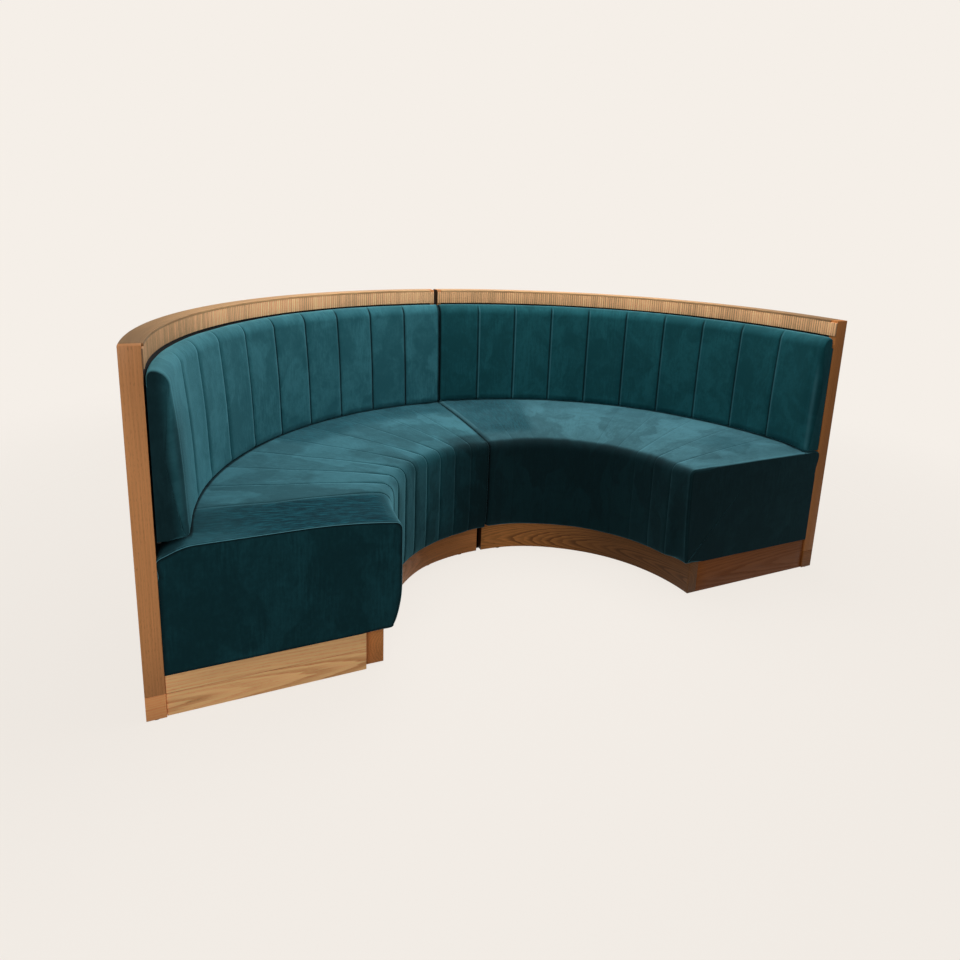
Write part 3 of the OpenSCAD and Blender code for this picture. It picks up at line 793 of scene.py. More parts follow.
@dataclass(frozen=True)
class VelvetFinish:
    """Cotton velvet with a brushed pile."""

    name: str
    deep: Colour
    bright: Colour
    rim: Colour
    seed: float
    patches: float
    lip_share: float
    panel_share: float
    brushed: Colour = (0.0004, 0.020, 0.030)
    brushed_light: Colour = (0.006, 0.092, 0.122)
    rim_power: float = 3.0
    seam_share: float = 0.12
    dusk_share: float = 0.25
    sheen_weight: float = 0.35
    sheen_roughness: float = 0.35
    sheen: Colour = (0.24, 0.80, 0.95)

    def material(self, nap: bpy.types.NodeTree) -> bpy.types.Material:
        """Deep and bright pile mixed by the nap, turned towards the rim colour at grazing angles as painted sheen, with
        painted shade in the seams, gaps and crevices, on the end panels and near the ends, and a painted highlight on
        the seams' lips and the rolls, under a sheen.

        Args:
            nap: The nap group.

        Returns:
            The material.
        """
        material, tree = new_material(self.name)
        pile = tree.group(nap, {
            "Cloth": tree.attribute("Cloth", "Vector"), "Seed": self.seed, "Patches": self.patches})
        stroke = pile["Lie"]
        # Painted sheen: the base colour turns towards the rim colour where the surface is seen at a grazing angle.
        facing = tree.math("POWER", tree.add("LayerWeight", {"Blend": 0.5}).outputs["Facing"], self.rim_power)
        facing = tree.product(facing, tree.ramp(stroke, 0.1, 0.9, 0.6, 1.15))
        brushed = tree.mix(pile["Streaks"], self.brushed, self.brushed_light)
        colour = tree.mix(tree.ramp(stroke, 0.2, 0.8), self.deep, self.bright)
        colour = tree.mix(tree.math("MINIMUM", facing, 1.0), colour, self.rim)
        colour = tree.mix(tree.attribute("Brushed"), colour, brushed)
        # Painted highlight on the seams' lips and the rolls.
        colour = tree.mix(tree.ramp(tree.attribute("Lip"), 0.15, 1.0, 0.0, self.lip_share), colour, self.rim)
        # Painted shade: in seams, gaps and crevices, on the end panels and near the ends.
        shade = tree.product(tree.ramp(tree.attribute("Seam"), 0.05, 0.7, 1.0, self.seam_share),
                             tree.ramp(tree.attribute("Panel"), 0.0, 1.0, 1.0, self.panel_share),
                             tree.ramp(tree.attribute("Dusk"), 0.0, 1.0, 1.0, self.dusk_share))
        height = tree.total(tree.product(pile["Pile"], 0.25), stroke)
        bump = tree.add("Bump", {"Height": height, "Strength": 0.5, "Distance": 1.2 * MM})
        shader = tree.add("BsdfPrincipled", {
            "Base Color": tree.scaled(colour, shade), "Roughness": 0.85, "Normal": bump.outputs[0],
            "Specular IOR Level": 0.12, "Sheen Weight": self.sheen_weight, "Sheen Roughness": self.sheen_roughness,
            "Sheen Tint": rgba(self.sheen)})
        tree.add("OutputMaterial", {"Surface": shader.outputs[0]})
        return material


@dataclass(frozen=True)
class HiddenFinish:
    """Finish of a piece that keeps its node: a grain or mottle on Object coordinates."""

    name: str
    light: Colour
    dark: Colour
    stretch: tuple[float, float, float]
    roughness: float
    metallic: float = 0.0

    def material(self) -> bpy.types.Material:
        """Two colours mixed by stretched noise, with a fine bump of the same noise.

        Returns:
            The material.
        """
        material, tree = new_material(self.name)
        mottle = tree.noise(tree.object_place(), self.stretch, 4.0, 0.6)
        bump = tree.add("Bump", {"Height": mottle, "Strength": 0.2, "Distance": 0.3 * MM})
        shader = tree.add("BsdfPrincipled", {
            "Base Color": tree.mix(tree.ramp(mottle, 0.3, 0.7), self.light, self.dark),
            "Metallic": self.metallic, "Normal": bump.outputs[0],
            "Roughness": tree.ramp(mottle, 0.2, 0.8, self.roughness, self.roughness * 1.25)})
        tree.add("OutputMaterial", {"Surface": shader.outputs[0]})
        return material


# Sub-assemblies


@dataclass
class BackFrame:
    """Oak back frame of a section: posts, top rail, reeded band and outer panel."""

    joinery: Joinery
    finishes: dict[str, bpy.types.Material]
    reed_depth: float = 2.4 * MM
    strokes_per_reed: int = 6

    def build(self) -> None:
        """Builds and places every piece of the frame that shows."""
        s, prefix = self.joinery.space.sizes, self.joinery.space.side.prefix
        straight, bent = self.joinery.straight, self.joinery.bent
        post = rectangle(s.frame_r, s.outer_r, 0.0, s.post_w)
        foot = rectangle(0.0, s.post_w, s.glide_h, s.foot_top)
        seam = rectangle(0.0, s.seam_w, s.frame_r, s.outer_r)
        rail = [(s.frame_r, s.rail_z), (s.outer_r, s.rail_z), (s.outer_r, s.booth_h), (s.crest_r, s.booth_h),
                (s.crest_r, s.band_top), (s.frame_r, s.band_top)]
        panel = rectangle(s.outer_r - s.outer_panel_t, s.outer_r, s.glide_h, s.rail_z)
        band = rectangle(s.crest_r, s.frame_r, s.band_foot, s.band_top)
        pieces = [
            ("end_post", "oak", prefix + "post", straight("end_post_oak", post, (s.foot_top, s.booth_h), "xyz")),
            ("post_foot", "oak_foot", prefix + "foot", straight("post_foot_oak", foot, (s.frame_r, s.outer_r), "yzx")),
            ("seam_post", "oak", "oak", straight("seam_post_oak", seam, (s.glide_h, s.booth_h), "xyz")),
            ("top_rail", "oak", "oak_rail", bent("top_rail_oak", rail, s.post_w, s.seam_w, Grain.ALONG)),
            ("outer_back_panel", "oak_veneer", "oak_veneer",
             bent("outer_panel_veneer", panel, s.post_w, s.seam_w, Grain.UPRIGHT)),
            ("reeded_band", "oak_reeds", prefix + "reeds",
             bent("reeds", band, 0.0, 0.0, Grain.UPRIGHT, REEDS * self.strokes_per_reed, self._reeds)),
        ]
        for node, slot, finish, piece in pieces:
            place(piece, self.finishes[finish], slot, [prefix + node])

    def _reeds(self, r: Array, share: Array) -> Array:
        """Grooves between reeds: the front moves out by the depth times (1 - |sin|^0.7) of the reed's phase."""
        s = self.joinery.space.sizes
        front = np.clip((s.frame_r - r) / s.band_proud, 0, 1)
        return front * self.reed_depth * (1 - np.abs(np.sin(np.pi * share * REEDS)) ** 0.7)


@dataclass
class Plinth:
    """Recessed plinth of a section: curved front, end board and seam board.

    The front's face comes nearer towards the end, from a share of the way on and over a share, fade.
    """

    joinery: Joinery
    finishes: dict[str, bpy.types.Material]
    nearer: float
    fade: tuple[float, float]
    seam_gap: float
    board_t: float = 18 * MM
    rebate: float = 6 * MM

    def build(self) -> None:
        """Builds and places the boards. The left front stops behind its end board, the right one meets its face."""
        s, side = self.joinery.space.sizes, self.joinery.space.side
        straight, bent = self.joinery.straight, self.joinery.bent
        front_r, rebate_r, under = s.plinth_front_r, s.plinth_front_r + self.rebate, s.hem_z - s.clearance
        front = [(front_r, s.glide_h), (s.plinth_board_r, s.glide_h), (s.plinth_board_r, s.plinth_h),
                 (rebate_r, s.plinth_h), (rebate_r, under), (front_r, under)]
        front_y = s.end_board_y + (s.end_board_t if side is Side.LEFT else 0.0)
        end = rectangle(s.end_board_y, s.end_board_y + s.end_board_t, s.glide_h, s.plinth_h)
        seam = rectangle(0.0, self.board_t, s.glide_h, s.plinth_h)
        pieces = [
            ("plinth_front", "plinth_veneer", side.prefix + "plinth_veneer",
             bent("plinth_front_veneer", front, front_y, self.seam_gap, Grain.ALONG, groove=self._flared)),
            ("plinth_end_board", "plinth_oak", side.prefix + "plinth_oak",
             straight("plinth_end_oak", end, (s.plinth_board_r, s.seat_back_r), "yzx", True)),
            ("plinth_seam_board", "plywood", "seam_board_oak",
             straight("plinth_seam_oak", seam, (s.plinth_board_r, s.seat_back_r - self.board_t), "xzy")),
        ]
        for node, slot, finish, piece in pieces:
            place(piece, self.finishes[finish], slot, [side.prefix + node])

    def _flared(self, r: Array, share: Array) -> Array:
        """The face comes nearer by nearer (1 - step) towards the end. What lies behind the face stays."""
        face = np.clip((self.joinery.space.sizes.plinth_front_r + 4 * MM - r) / (2 * MM), 0, 1)
        return -self.nearer * (1 - smooth_step(share, *self.fade)) * face


@dataclass(frozen=True)
class SeatShape:
    """Outline of a seat at one place.

    Its hem stands at a radius, its front stands out from that by the bow, and a rounded edge leads to the top,
    which starts at edge_up from the seat's height, rises within its reach and falls towards the back frame.
    """

    hem_r: float
    bow: float
    round_r: float
    edge_up: float
    rise: float
    rise_reach: float
    fall: float
    fall_w: float = 85 * MM
    bow_reach: float = 0.30


@dataclass(frozen=True)
class PadShape:
    """Outline of a back pad at one place: what padding adds at its head and foot, and how far its foot is lifted."""

    head_more: float
    foot_more: float
    foot_up: float


@dataclass(frozen=True)
class CushionEnd:
    """How a cushion is finished at one end.

    The cover turns into the end panel over a quarter of an ellipse: over_run along the arc, and face_roll deep on
    the face or rim_roll deep elsewhere. Past blend_run from the end the cover has its full outline. The panel
    stands out by its crown, and its edge shows a sewn line, painted shade and highlight, by piped. A painted
    highlight on the face roll, glow, also lightens the panel towards the face. Near the other section painted
    shade darkens the pile by gap_tone, and painted shade darkens that of the face by dusk over dusk_run from the end.
    """

    shape: SeatShape | PadShape
    over_run: float
    face_roll: float
    rim_roll: float
    blend_run: float
    piped: float
    crown: float
    glow: float = 0.0
    gap_tone: float = 0.0
    dusk: float = 0.0
    dusk_run: float = 50 * MM


@dataclass(frozen=True)
class Stroke:
    """A place where the pile is brushed the dark way.

    It spans channels from start to stop and shares of the way along the outline from back to front, with soft
    sides: start_soft and soft are how many channels the sides at start and stop take, and rise and front_soft how
    long those at the back and the front are.
    """

    start: float
    stop: float
    soft: float
    back: float
    rise: float
    front: float
    depth: float
    start_soft: float = 0.5
    front_soft: float = 0.08

    def mask(self, at: Array, way: Array) -> Array:
        """Depth times a smooth step at each of the four sides.

        Args:
            at: Places across the channels, in channels.
            way: Shares of the way along the outline.

        Returns:
            How far the pile is brushed.
        """
        across = smooth_step(at, self.start, self.start_soft) * smooth_step(at, self.stop, -self.soft)
        along = smooth_step(way, self.back, self.rise)
        return self.depth * across * along * smooth_step(way, self.front, -self.front_soft)


@dataclass(frozen=True)
class CushionPlan:
    """What one cushion of a section has of its own.

    The first channel takes first[k] of the arc at the share FIRST_WAYS[k] of the outline, and the others share
    the rest. The seams down the end of the outline have low_pinch of their depth. At the start, middle and end of
    the arc, the channels stand out by shares of their full height, fullness, the painted shade in a seam has
    dark_tones, and the painted highlight on the pale lip beside it pale_tones.
    """

    shape: SeatShape | PadShape
    ends: tuple[CushionEnd, CushionEnd]
    first: tuple[float, float, float, float] = (0.1,) * 4
    low_pinch: float = 1.0
    fullness: tuple[float, float, float] = (1.0,) * 3
    strokes: tuple[Stroke, ...] = ()
    dark_tones: tuple[float, float, float] = (1.0,) * 3
    pale_tones: tuple[float, float, float] = (1.0,) * 3


@dataclass(frozen=True)
class Padding:
    """Cloth simulation that pushes a cover out between its seams."""

    pressure: float = 4.0
    frames: int = 20
    stretch: float = 0.5
    shear: float = 0.3
    bending: float = 0.01
    across: int = 8
    row_step: int = 3
    levels: int = 20

    def pushed(self, points: Array, normals: Array, share: Array, sewn: Array) -> Array:
        """Puts an open grid of cover under pressure, with its border and seams pinned.

        Args:
            points: The cover's points, an array of (columns, rows, 3).
            normals: Its normals.
            share: The share of the pressure that each point takes.
            sewn: How firmly each point is held, from 0 to 1.

        Returns:
            How far each point moved out along its normal.
        """
        columns, rows = points.shape[:2]
        mesh = bpy.data.meshes.new("PaddingTrial")
        mesh.from_pydata(points.reshape(-1, 3).tolist(), [], ring_faces(columns, rows, False)[:, ::-1].tolist())
        trial = linked("PaddingTrial", mesh)
        for name, weights in (("Sewn", sewn), ("Filled", share)):
            group = trial.vertex_groups.new(name=name)
            nearest = np.round(weights.ravel() * self.levels).astype(int)
            for level in range(1, self.levels + 1):
                group.add(np.flatnonzero(nearest == level).tolist(), level / self.levels, "REPLACE")
        cloth = trial.modifiers.new("Cloth", "CLOTH")
        cloth.point_cache.frame_end = self.frames
        settings = cloth.settings
        settings.effector_weights.gravity = 0.0
        settings.use_pressure = True
        settings.uniform_pressure_force = self.pressure
        settings.vertex_group_pressure = "Filled"
        settings.vertex_group_mass = "Sewn"
        settings.tension_stiffness = settings.compression_stiffness = self.stretch
        settings.shear_stiffness = self.shear
        settings.bending_stiffness = self.bending
        scene = bpy.context.scene
        for number in range(1, self.frames + 1):
            scene.frame_set(number)
        shown = trial.evaluated_get(bpy.context.evaluated_depsgraph_get()).data
        moved = np.empty(columns * rows * 3)
        shown.vertices.foreach_get("co", moved)
        bpy.data.objects.remove(trial)
        bpy.data.meshes.remove(mesh)
        scene.frame_set(1)
        return ((moved.reshape(points.shape) - points) * normals).sum(-1)


@dataclass(frozen=True)
class CoverPaths:
    """Outlines that the rings of a cushion follow, in (radius, height), with values all along the cover.

    The cover has its full outline, ends has the outlines at both ends, and the linings close an end's ring and a
    ring further in. The face is 1 where an end has its face roll, piping where a sewn line may show, and
    rolls gives how deep the two ends roll.
    """

    way: Array
    full: Array
    full_normal: Array
    ends: list[Array]
    end_normals: list[Array]
    linings: tuple[Array, Array]
    face: Array
    piping: Array
    rolls: list[Array]

    @property
    def length(self) -> Array:
        """Length of the full outline up to each of its points."""
        return np.concatenate([[0], np.cumsum(np.hypot(*np.diff(self.full, axis=0).T))])

    @property
    def mean_r(self) -> float:
        """Mean radius of the full outline."""
        return self.full[:, 0].mean()


@dataclass(frozen=True)
class RingBlock:
    """Successive rings of a cushion: (rings, points, 3) points and cloth coordinates, (rings, points) marks."""

    points: Array
    cloth: Array
    marks: dict[str, Array]


@dataclass
class ChannelledCushion:
    """A cushion whose cover is sewn in channels and closed by a flat panel at each end.

    From the middle of one end panel to the middle of the other, the mesh is a row of closed rings: the panel's,
    which shrink to its middle; the roll's; the columns of the channels; and the same again. A ring is the cover's
    outline, blended from the end's to the full one over a smooth step, and the lining.

    A seam's pale lip, a painted highlight, lies lip_off beside it and is lip_half wide, both in shares of
    seam_half_w, and its groove keeps faint_groove of its depth where its tone is none. The stitches' dark and pale
    lines, painted shade and painted highlight, and the painted glow on a roll have a place, a width and a strength,
    in radians of the roll's turn.
    """

    space: SectionSpace
    velvet: bpy.types.Material
    plan: CushionPlan
    row_count: int
    channels: int = 10
    half_columns: int = 12
    crowding: float = 4.6
    panel_rings: int = 16
    roll_steps: int = 10
    seam_depth: float = 3.0 * MM
    seam_half_w: float = 2.1 * MM
    shoulder: float = 5.0
    top_tone: float = 1.0
    lip_off: float = 1.8
    lip_half: float = 0.65
    faint_groove: float = 0.3
    stitch_dark: tuple[float, float, float] = (0.2, 0.2, 0.8)
    stitch_pale: tuple[float, float, float] = (0.7, 0.22, 1.0)
    roll_glow: tuple[float, float, float] = (1.0, 0.45, 0.55)
    border: float = 0.03
    clear_run: float = 24 * MM
    met_from: tuple[float, float] = (12 * MM, 60 * MM)
    gap_reach: float = 7 * MM
    panel_glow: float = 0.9
    panel_glow_reach: float = 50 * MM
    padding: Padding = Padding()
    name: str = "cushion"

    def outline(self, shape: SeatShape | PadShape) -> Array:
        """Outline of the cover in (radius, height). Its face is on the right of its travel."""
        raise NotImplementedError

    def lining(self, at_end: bool) -> Array:
        """The rest of the closed outline, from the end of the outline back to its start."""
        raise NotImplementedError

    def swell(self, way: Array) -> Array:
        """Height of a channel above its seams at each share of the way along the outline."""
        raise NotImplementedError

    def pinch(self, way: Array) -> Array:
        """Share of the full depth of the seams along the outline."""
        raise NotImplementedError

    def face(self, way: Array) -> Array:
        """1 where the end has its face roll, 0 where it has its rim roll."""
        raise NotImplementedError

    def piping(self, way: Array) -> Array:
        """1 where a sewn line may show at the end's edge, 0 elsewhere."""
        raise NotImplementedError

    def lipped(self, way: Array) -> Array:
        """1 where the seams have their pale lip, a painted highlight, 0 elsewhere."""
        return np.ones_like(way)

    def crevice(self, way: Array, r: Array) -> Array:
        """How much painted shade darkens the pile where the cover meets its neighbour."""
        raise NotImplementedError

    def columns(self) -> tuple[Array, Array]:
        """Columns across all channels, crowded towards the seams: half of sinh(b k / n) / sinh(b) from each.

        Returns:
            The number of each column's channel, and the share of the way across it.
        """
        step = np.arange(self.half_columns + 1) / self.half_columns
        half = 0.5 * np.sinh(self.crowding * step) / np.sinh(self.crowding)
        channel = np.concatenate([half, 1 - half[-2:0:-1]])
        number = np.repeat(np.arange(self.channels), len(channel))
        return np.append(number, self.channels), np.append(np.tile(channel, self.channels), 0.0)

    def shares(self, number: Array, across: Array, way: Array) -> tuple[Array, Array]:
        """Shares of the arc at which columns lie, for every point of the outline.

        Args:
            number: The number of each column's channel.
            across: The share of the way across that channel.
            way: Shares of the way along the outline.

        Returns:
            The shares, and how wide each column's channel is, as (columns, points) arrays.
        """
        first = np.interp(way, FIRST_WAYS, self.plan.first)
        other = (1 - first) / (self.channels - 1)
        number, across = number[:, None], across[:, None]
        wide = np.where(number == 0, first, other)
        return np.where(number == 0, 0.0, first + other * (number - 1)) + wide * across, wide

    def paths(self) -> CoverPaths:
        """Works out what the rings follow.

        Returns:
            The outlines and the values along them.
        """
        way = np.linspace(0, 1, self.row_count)
        full, *ends = (resampled(self.outline(shape), self.row_count)
                       for shape in (self.plan.shape, *(end.shape for end in self.plan.ends)))
        face = self.face(way)
        return CoverPaths(
            way=way,
            full=full,
            full_normal=path_normals(full),
            ends=ends,
            end_normals=[path_normals(path) for path in ends],
            linings=(self.lining(True), self.lining(False)),
            face=face,
            piping=self.piping(way),
            rolls=[end.rim_roll + (end.face_roll - end.rim_roll) * face for end in self.plan.ends],
        )

    def turned(self, r: Array, from_end: Array | float, from_seam: Array | float, share: Array | float) -> Array:
        """Angles at which points of radius r lie, so that columns near an end lie in planes beside its own.

        Args:
            r: Radii.
            from_end: Distance of the first column from the end plane.
            from_seam: Distance of the last column from the cushion's seam plane.
            share: Shares of the way from the first column to the last.

        Returns:
            The angles.
        """
        start = np.arcsin(np.clip(from_end / r, -1, 1))
        stop = QUARTER + np.arcsin(np.clip((self.space.sizes.cushion_reach - from_seam) / r, -1, 1))
        return start + (stop - start) * share

    def end_angles(self, r: Array, which: int, away: float) -> Array:
        """Angles of points of radius r in the plane that stands away from one end's, towards the other end."""
        return self.turned(r, away, 0.0, 0.0) if which == 0 else self.turned(r, 0.0, away, 1.0)

    def cover(self, paths: CoverPaths, number: Array, across: Array) -> tuple[Array, Array, Array, Array]:
        """Cover at any columns, before its channels stand out.

        Args:
            paths: What the rings follow.
            number: The number of each column's channel.
            across: The share of the way across that channel.

        Returns:
            Angles, outlines, their normals and the share that is clear of both ends, each (columns, points, ...).
        """
        first, last = self.plan.ends
        r = paths.full[:, 0]
        angle = self.turned(r[None], first.over_run, last.over_run, self.shares(number, across, paths.way)[0])
        near = [(angle - angle[:1]) * r / first.blend_run, (angle[-1:] - angle) * r / last.blend_run]
        path = np.broadcast_to(paths.full, (*angle.shape, 2)).copy()
        normal = np.broadcast_to(paths.full_normal, path.shape).copy()
        for which in (0, 1):
            held = 1 - smooth_step(near[which], 0.0, 1.0)[..., None]
            path += (paths.ends[which] - paths.full) * held
            normal += (paths.end_normals[which] - paths.full_normal) * held
        clear = np.minimum(near[0] * first.blend_run, near[1] * last.blend_run)
        return angle, path, normal, smooth_step(clear, 0.0, self.clear_run)

    def channel_height(self, paths: CoverPaths, number: Array, across: Array) -> Array:
        """Height of the channels above their seams.

        It is swell tanh(d / swell) where the simulated padding pushes the cover out by d, which is read off a
        coarse grid.

        Args:
            paths: What the rings follow.
            number: The number of each column's channel.
            across: The share of the way across that channel.

        Returns:
            The heights, an array of (columns, points).
        """
        swell = self.swell(paths.way)
        step, last_row = self.padding.across, self.row_count - 1
        coarse = np.arange(self.channels * step + 1)
        rows = np.unique(np.append(np.arange(0, self.row_count, self.padding.row_step), last_row))
        angle, path, normal, inner = (part[:, rows] for part in self.cover(paths, coarse // step, coarse % step / step))
        out = np.stack([np.cos(angle), np.sin(angle), np.zeros_like(angle)], -1)
        up = np.array([0.0, 0.0, 1.0])
        points, normals = (out * pair[..., :1] + up * pair[..., 1:] for pair in (path, normal))
        sewn = np.zeros(angle.shape)
        sewn[::step] = sewn[:, [0, -1]] = 1.0
        moved = self.padding.pushed(points, normals, inner * (swell / swell.max())[rows], sewn)
        log.info("%s%s: padding moved the cover by up to %.1f mm", self.space.side.prefix, self.name, moved.max() / MM)
        row_place = np.interp(np.arange(self.row_count), rows, np.arange(len(rows)))
        moved = between_rows(between_rows(moved, (number + across) * step).T, row_place).T
        floor = np.maximum(swell, 0.1 * MM)
        return floor * np.tanh(np.maximum(moved, 0) / floor)

    def unevenness(self, run: Array, way: Array) -> Array:
        """Slow unevenness of hand-laid padding: a sum of sines.

        Args:
            run: Run along the arc.
            way: Shares of the way along the outline.

        Returns:
            Height to add to the cover.
        """
        waves = ((7.1, 2.3, 0.4), (13.7, 5.9, 1.9), (23.3, 9.1, 3.1), (31.9, 3.7, 5.2))
        total = sum(np.sin(k * run + m * way + phase + self.space.side.value) / (1 + i)
                    for i, (k, m, phase) in enumerate(waves))
        return 0.5 * MM * total

    def rings(self, flat: Array, angle: Array, cloth: Array, **marks: Array | float) -> RingBlock:
        """Makes a ring or a block of rings.

        Args:
            flat: Radii and heights of the cover's points and then of the lining's.
            angle: Their angles.
            cloth: Cloth coordinates of the cover's points, at least. The rest repeat the last.
            marks: Marks of the cover's points, 0 where none is given. The rest repeat the last.

        Returns:
            The rings.
        """
        around = flat.shape[-2]
        points = np.stack([flat[..., 0] * np.cos(angle), flat[..., 0] * np.sin(angle), flat[..., 1]], -1)
        points = points.reshape(-1, around, 3)
        cloth = cloth.reshape(len(points), -1, 3)
        lined = [(0, 0), (0, around - self.row_count)]
        return RingBlock(
            points=points,
            cloth=np.pad(cloth, [(0, 0), (0, around - cloth.shape[1]), (0, 0)], mode="edge"),
            marks={name: np.pad(np.broadcast_to(marks.get(name, 0.0), (len(points), self.row_count)), lined,
                                mode="edge") for name in MARKS},
        )

    def unlit(self, paths: CoverPaths, which: int, flat: Array) -> Array:
        """How much of a panel's shade is left as it lightens towards the face.

        Args:
            paths: What the rings follow.
            which: Which end it is.
            flat: Radii and heights of a ring's points.

        Returns:
            The share for each of the cover's points.
        """
        front = paths.ends[which][paths.face > 0.5]
        front = front[np.argsort(front[:, 1])]
        r, z = flat[:self.row_count].T
        lit = 1 - smooth_step(r - np.interp(z, front[:, 1], front[:, 0]), 0.0, self.panel_glow_reach)
        return 1 - self.panel_glow * self.plan.ends[which].glow * lit

    def end_rings(self, paths: CoverPaths, which: int) -> Iterator[RingBlock]:
        """Rings of one end from the middle of its panel, crowned by crown (1 - k^2)^2, over its roll.

        Args:
            paths: What the rings follow.
            which: 0 for the end at the end plane, 1 for the one at the seam plane.

        Yields:
            Each ring.
        """
        end, face, sewn = self.plan.ends[which], paths.face, self.plan.ends[which].piped * paths.piping
        path, normal, roll = paths.ends[which], paths.end_normals[which], paths.rolls[which][:, None]
        rim = np.vstack([path - normal * roll, paths.linings[0]])
        middle = rim.mean(0)
        for k in 1 - np.linspace(0.985, 0.004, self.panel_rings) ** 1.25:
            flat = middle + (rim - middle) * k
            number = np.full(len(flat), PANEL_NUMBER + which)
            cloth = np.stack([flat[:, 1], flat[:, 0] * (1 if which else -1), number], -1)
            # Painted shade along the panel's sewn edge, in the gap and over the panel.
            yield self.rings(flat, self.end_angles(flat[:, 0], which, -end.crown * (1 - k**2) ** 2), cloth,
                             Seam=np.maximum(0.5 * np.exp(-((1 - k) / 0.02)) * sewn, end.gap_tone),
                             Panel=self.unlit(paths, which, flat))
        for t in np.linspace(0, QUARTER, self.roll_steps + 1)[:-1]:
            away = end.over_run * (1 - np.cos(t))
            lining = paths.linings[0 if away < self.space.sizes.side_t else 1]
            flat = np.vstack([path - normal * (roll * (1 - np.sin(t))), lining])
            run = self.end_angles(path[:, 0], which, away) * paths.mean_r
            cloth = np.stack([paths.length, run, np.full(self.row_count, which * self.channels - 0.5)], -1)
            # Painted shade and highlight on the stitch line, painted shade in the gap, a painted highlight on the roll,
            # painted shade over the panel and near the end.
            yield self.rings(flat, self.end_angles(flat[:, 0], which, away), cloth,
                             Seam=np.maximum(bell(t, *self.stitch_dark) * sewn,
                                             bell(away, 0.0, self.gap_reach, end.gap_tone)),
                             Lip=np.maximum(bell(t, *self.stitch_pale) * sewn,
                                            bell(t, *self.roll_glow) * end.glow * face),
                             Panel=(1 - smooth_step(t, 0.0, 1.4)) * self.unlit(paths, which, flat),
                             Dusk=end.dusk * face * smooth_step(t, 0.2, 1.0))

    def channel_rings(self, paths: CoverPaths) -> RingBlock:
        """Columns of all channels.

        Args:
            paths: What the rings follow.

        Returns:
            One ring for each column.
        """
        way, lining = paths.way, paths.linings[1]
        number, across = self.columns()
        around = np.concatenate([way, np.linspace(1, 0, len(lining) + 2)[1:-1]])
        share, wide = self.shares(number, across, around)
        angle, path, normal, inner = self.cover(paths, number, across)
        width = (angle[-1:] - angle[:1]) * paths.full[:, 0] * wide[:, :self.row_count]
        f = across[:, None]
        past = np.where(f > 0.5, f - 1, f) * width
        sewn = self.pinch(way) * inner
        groove = np.exp(-np.abs(past / self.seam_half_w) ** 1.5) * sewn
        # Painted highlight: the pale lip beside each seam.
        lip_highlights = bell(past, -self.lip_off * self.seam_half_w, self.lip_half * self.seam_half_w) * sewn
        at = (number + across)[:, None]
        fullness, dark, pale = (np.interp(at, np.array([0, 0.5, 1]) * self.channels, tones).clip(0) for tones in (
            self.plan.fullness, self.plan.dark_tones, self.plan.pale_tones))
        height = (self.channel_height(paths, number, across) * inner * fullness
                  - self.seam_depth * groove * (self.faint_groove + (1 - self.faint_groove) * dark)
                  + self.unevenness(angle * path[..., 0], way) * inner)
        height = height * smooth_step(np.minimum(way, 1 - way), 0.0, self.border)
        flat = path + normal * height[..., None]
        flat = np.concatenate([flat, np.broadcast_to(lining, (len(share), *lining.shape))], 1)

        first, last = self.plan.ends
        turned = self.turned(flat[..., 0], first.over_run, last.over_run, share)
        angle = turned[:, :self.row_count]
        run = angle * paths.mean_r
        cloth = np.stack(np.broadcast_arrays(paths.length, run, number[:, None]), -1)
        from_ends = (angle - angle[:1]) * paths.full[:, 0], (angle[-1:] - angle) * paths.full[:, 0]
        # Painted shade where the cover meets its neighbour, faded out near the ends.
        met = self.crevice(way, path[..., 0]) * smooth_step(np.minimum(*from_ends), *self.met_from)
        lipped = self.lipped(way)
        # Painted shade in the seams' grooves, scaled by top_tone where the seams have no lip, and along the crevice.
        seam = np.maximum(groove * dark * (self.top_tone + (1 - self.top_tone) * lipped), met)
        dusk = np.zeros_like(run)
        # Painted shade in the gap between the sections, and on the face near an end by dusk.
        for end, away in zip(self.plan.ends, from_ends):
            seam = np.maximum(seam, bell(away + end.over_run, 0.0, self.gap_reach, end.gap_tone))
            dusk += end.dusk * (1 - smooth_step(away, 0.0, end.dusk_run))
        brushed = sum((stroke.mask(at, way) for stroke in self.plan.strokes), np.zeros_like(run))
        return self.rings(flat, turned, cloth, Seam=seam, Lip=lip_highlights * pale * lipped, Brushed=brushed,
                          Dusk=dusk * paths.face)

    def build(self) -> None:
        """Builds and places the cushion."""
        paths = self.paths()
        near, far = (list(self.end_rings(paths, which)) for which in (0, 1))
        row = [*near, self.channel_rings(paths), *reversed(far)]
        marks = {name: np.concatenate([block.marks[name] for block in row]).ravel() for name in MARKS}
        cloth = np.concatenate([block.cloth for block in row]).reshape(-1, 3)
        piece = ring_solid(f"{self.name}_cushion", self.space, np.concatenate([block.points for block in row]),
                           {"Cloth": cloth, **marks})
        nodes = [f"{self.space.side.prefix}{self.name}_{part}" for part in ("cover", "foam", "side_panels")]
        place(piece, self.velvet, "velvet", nodes)


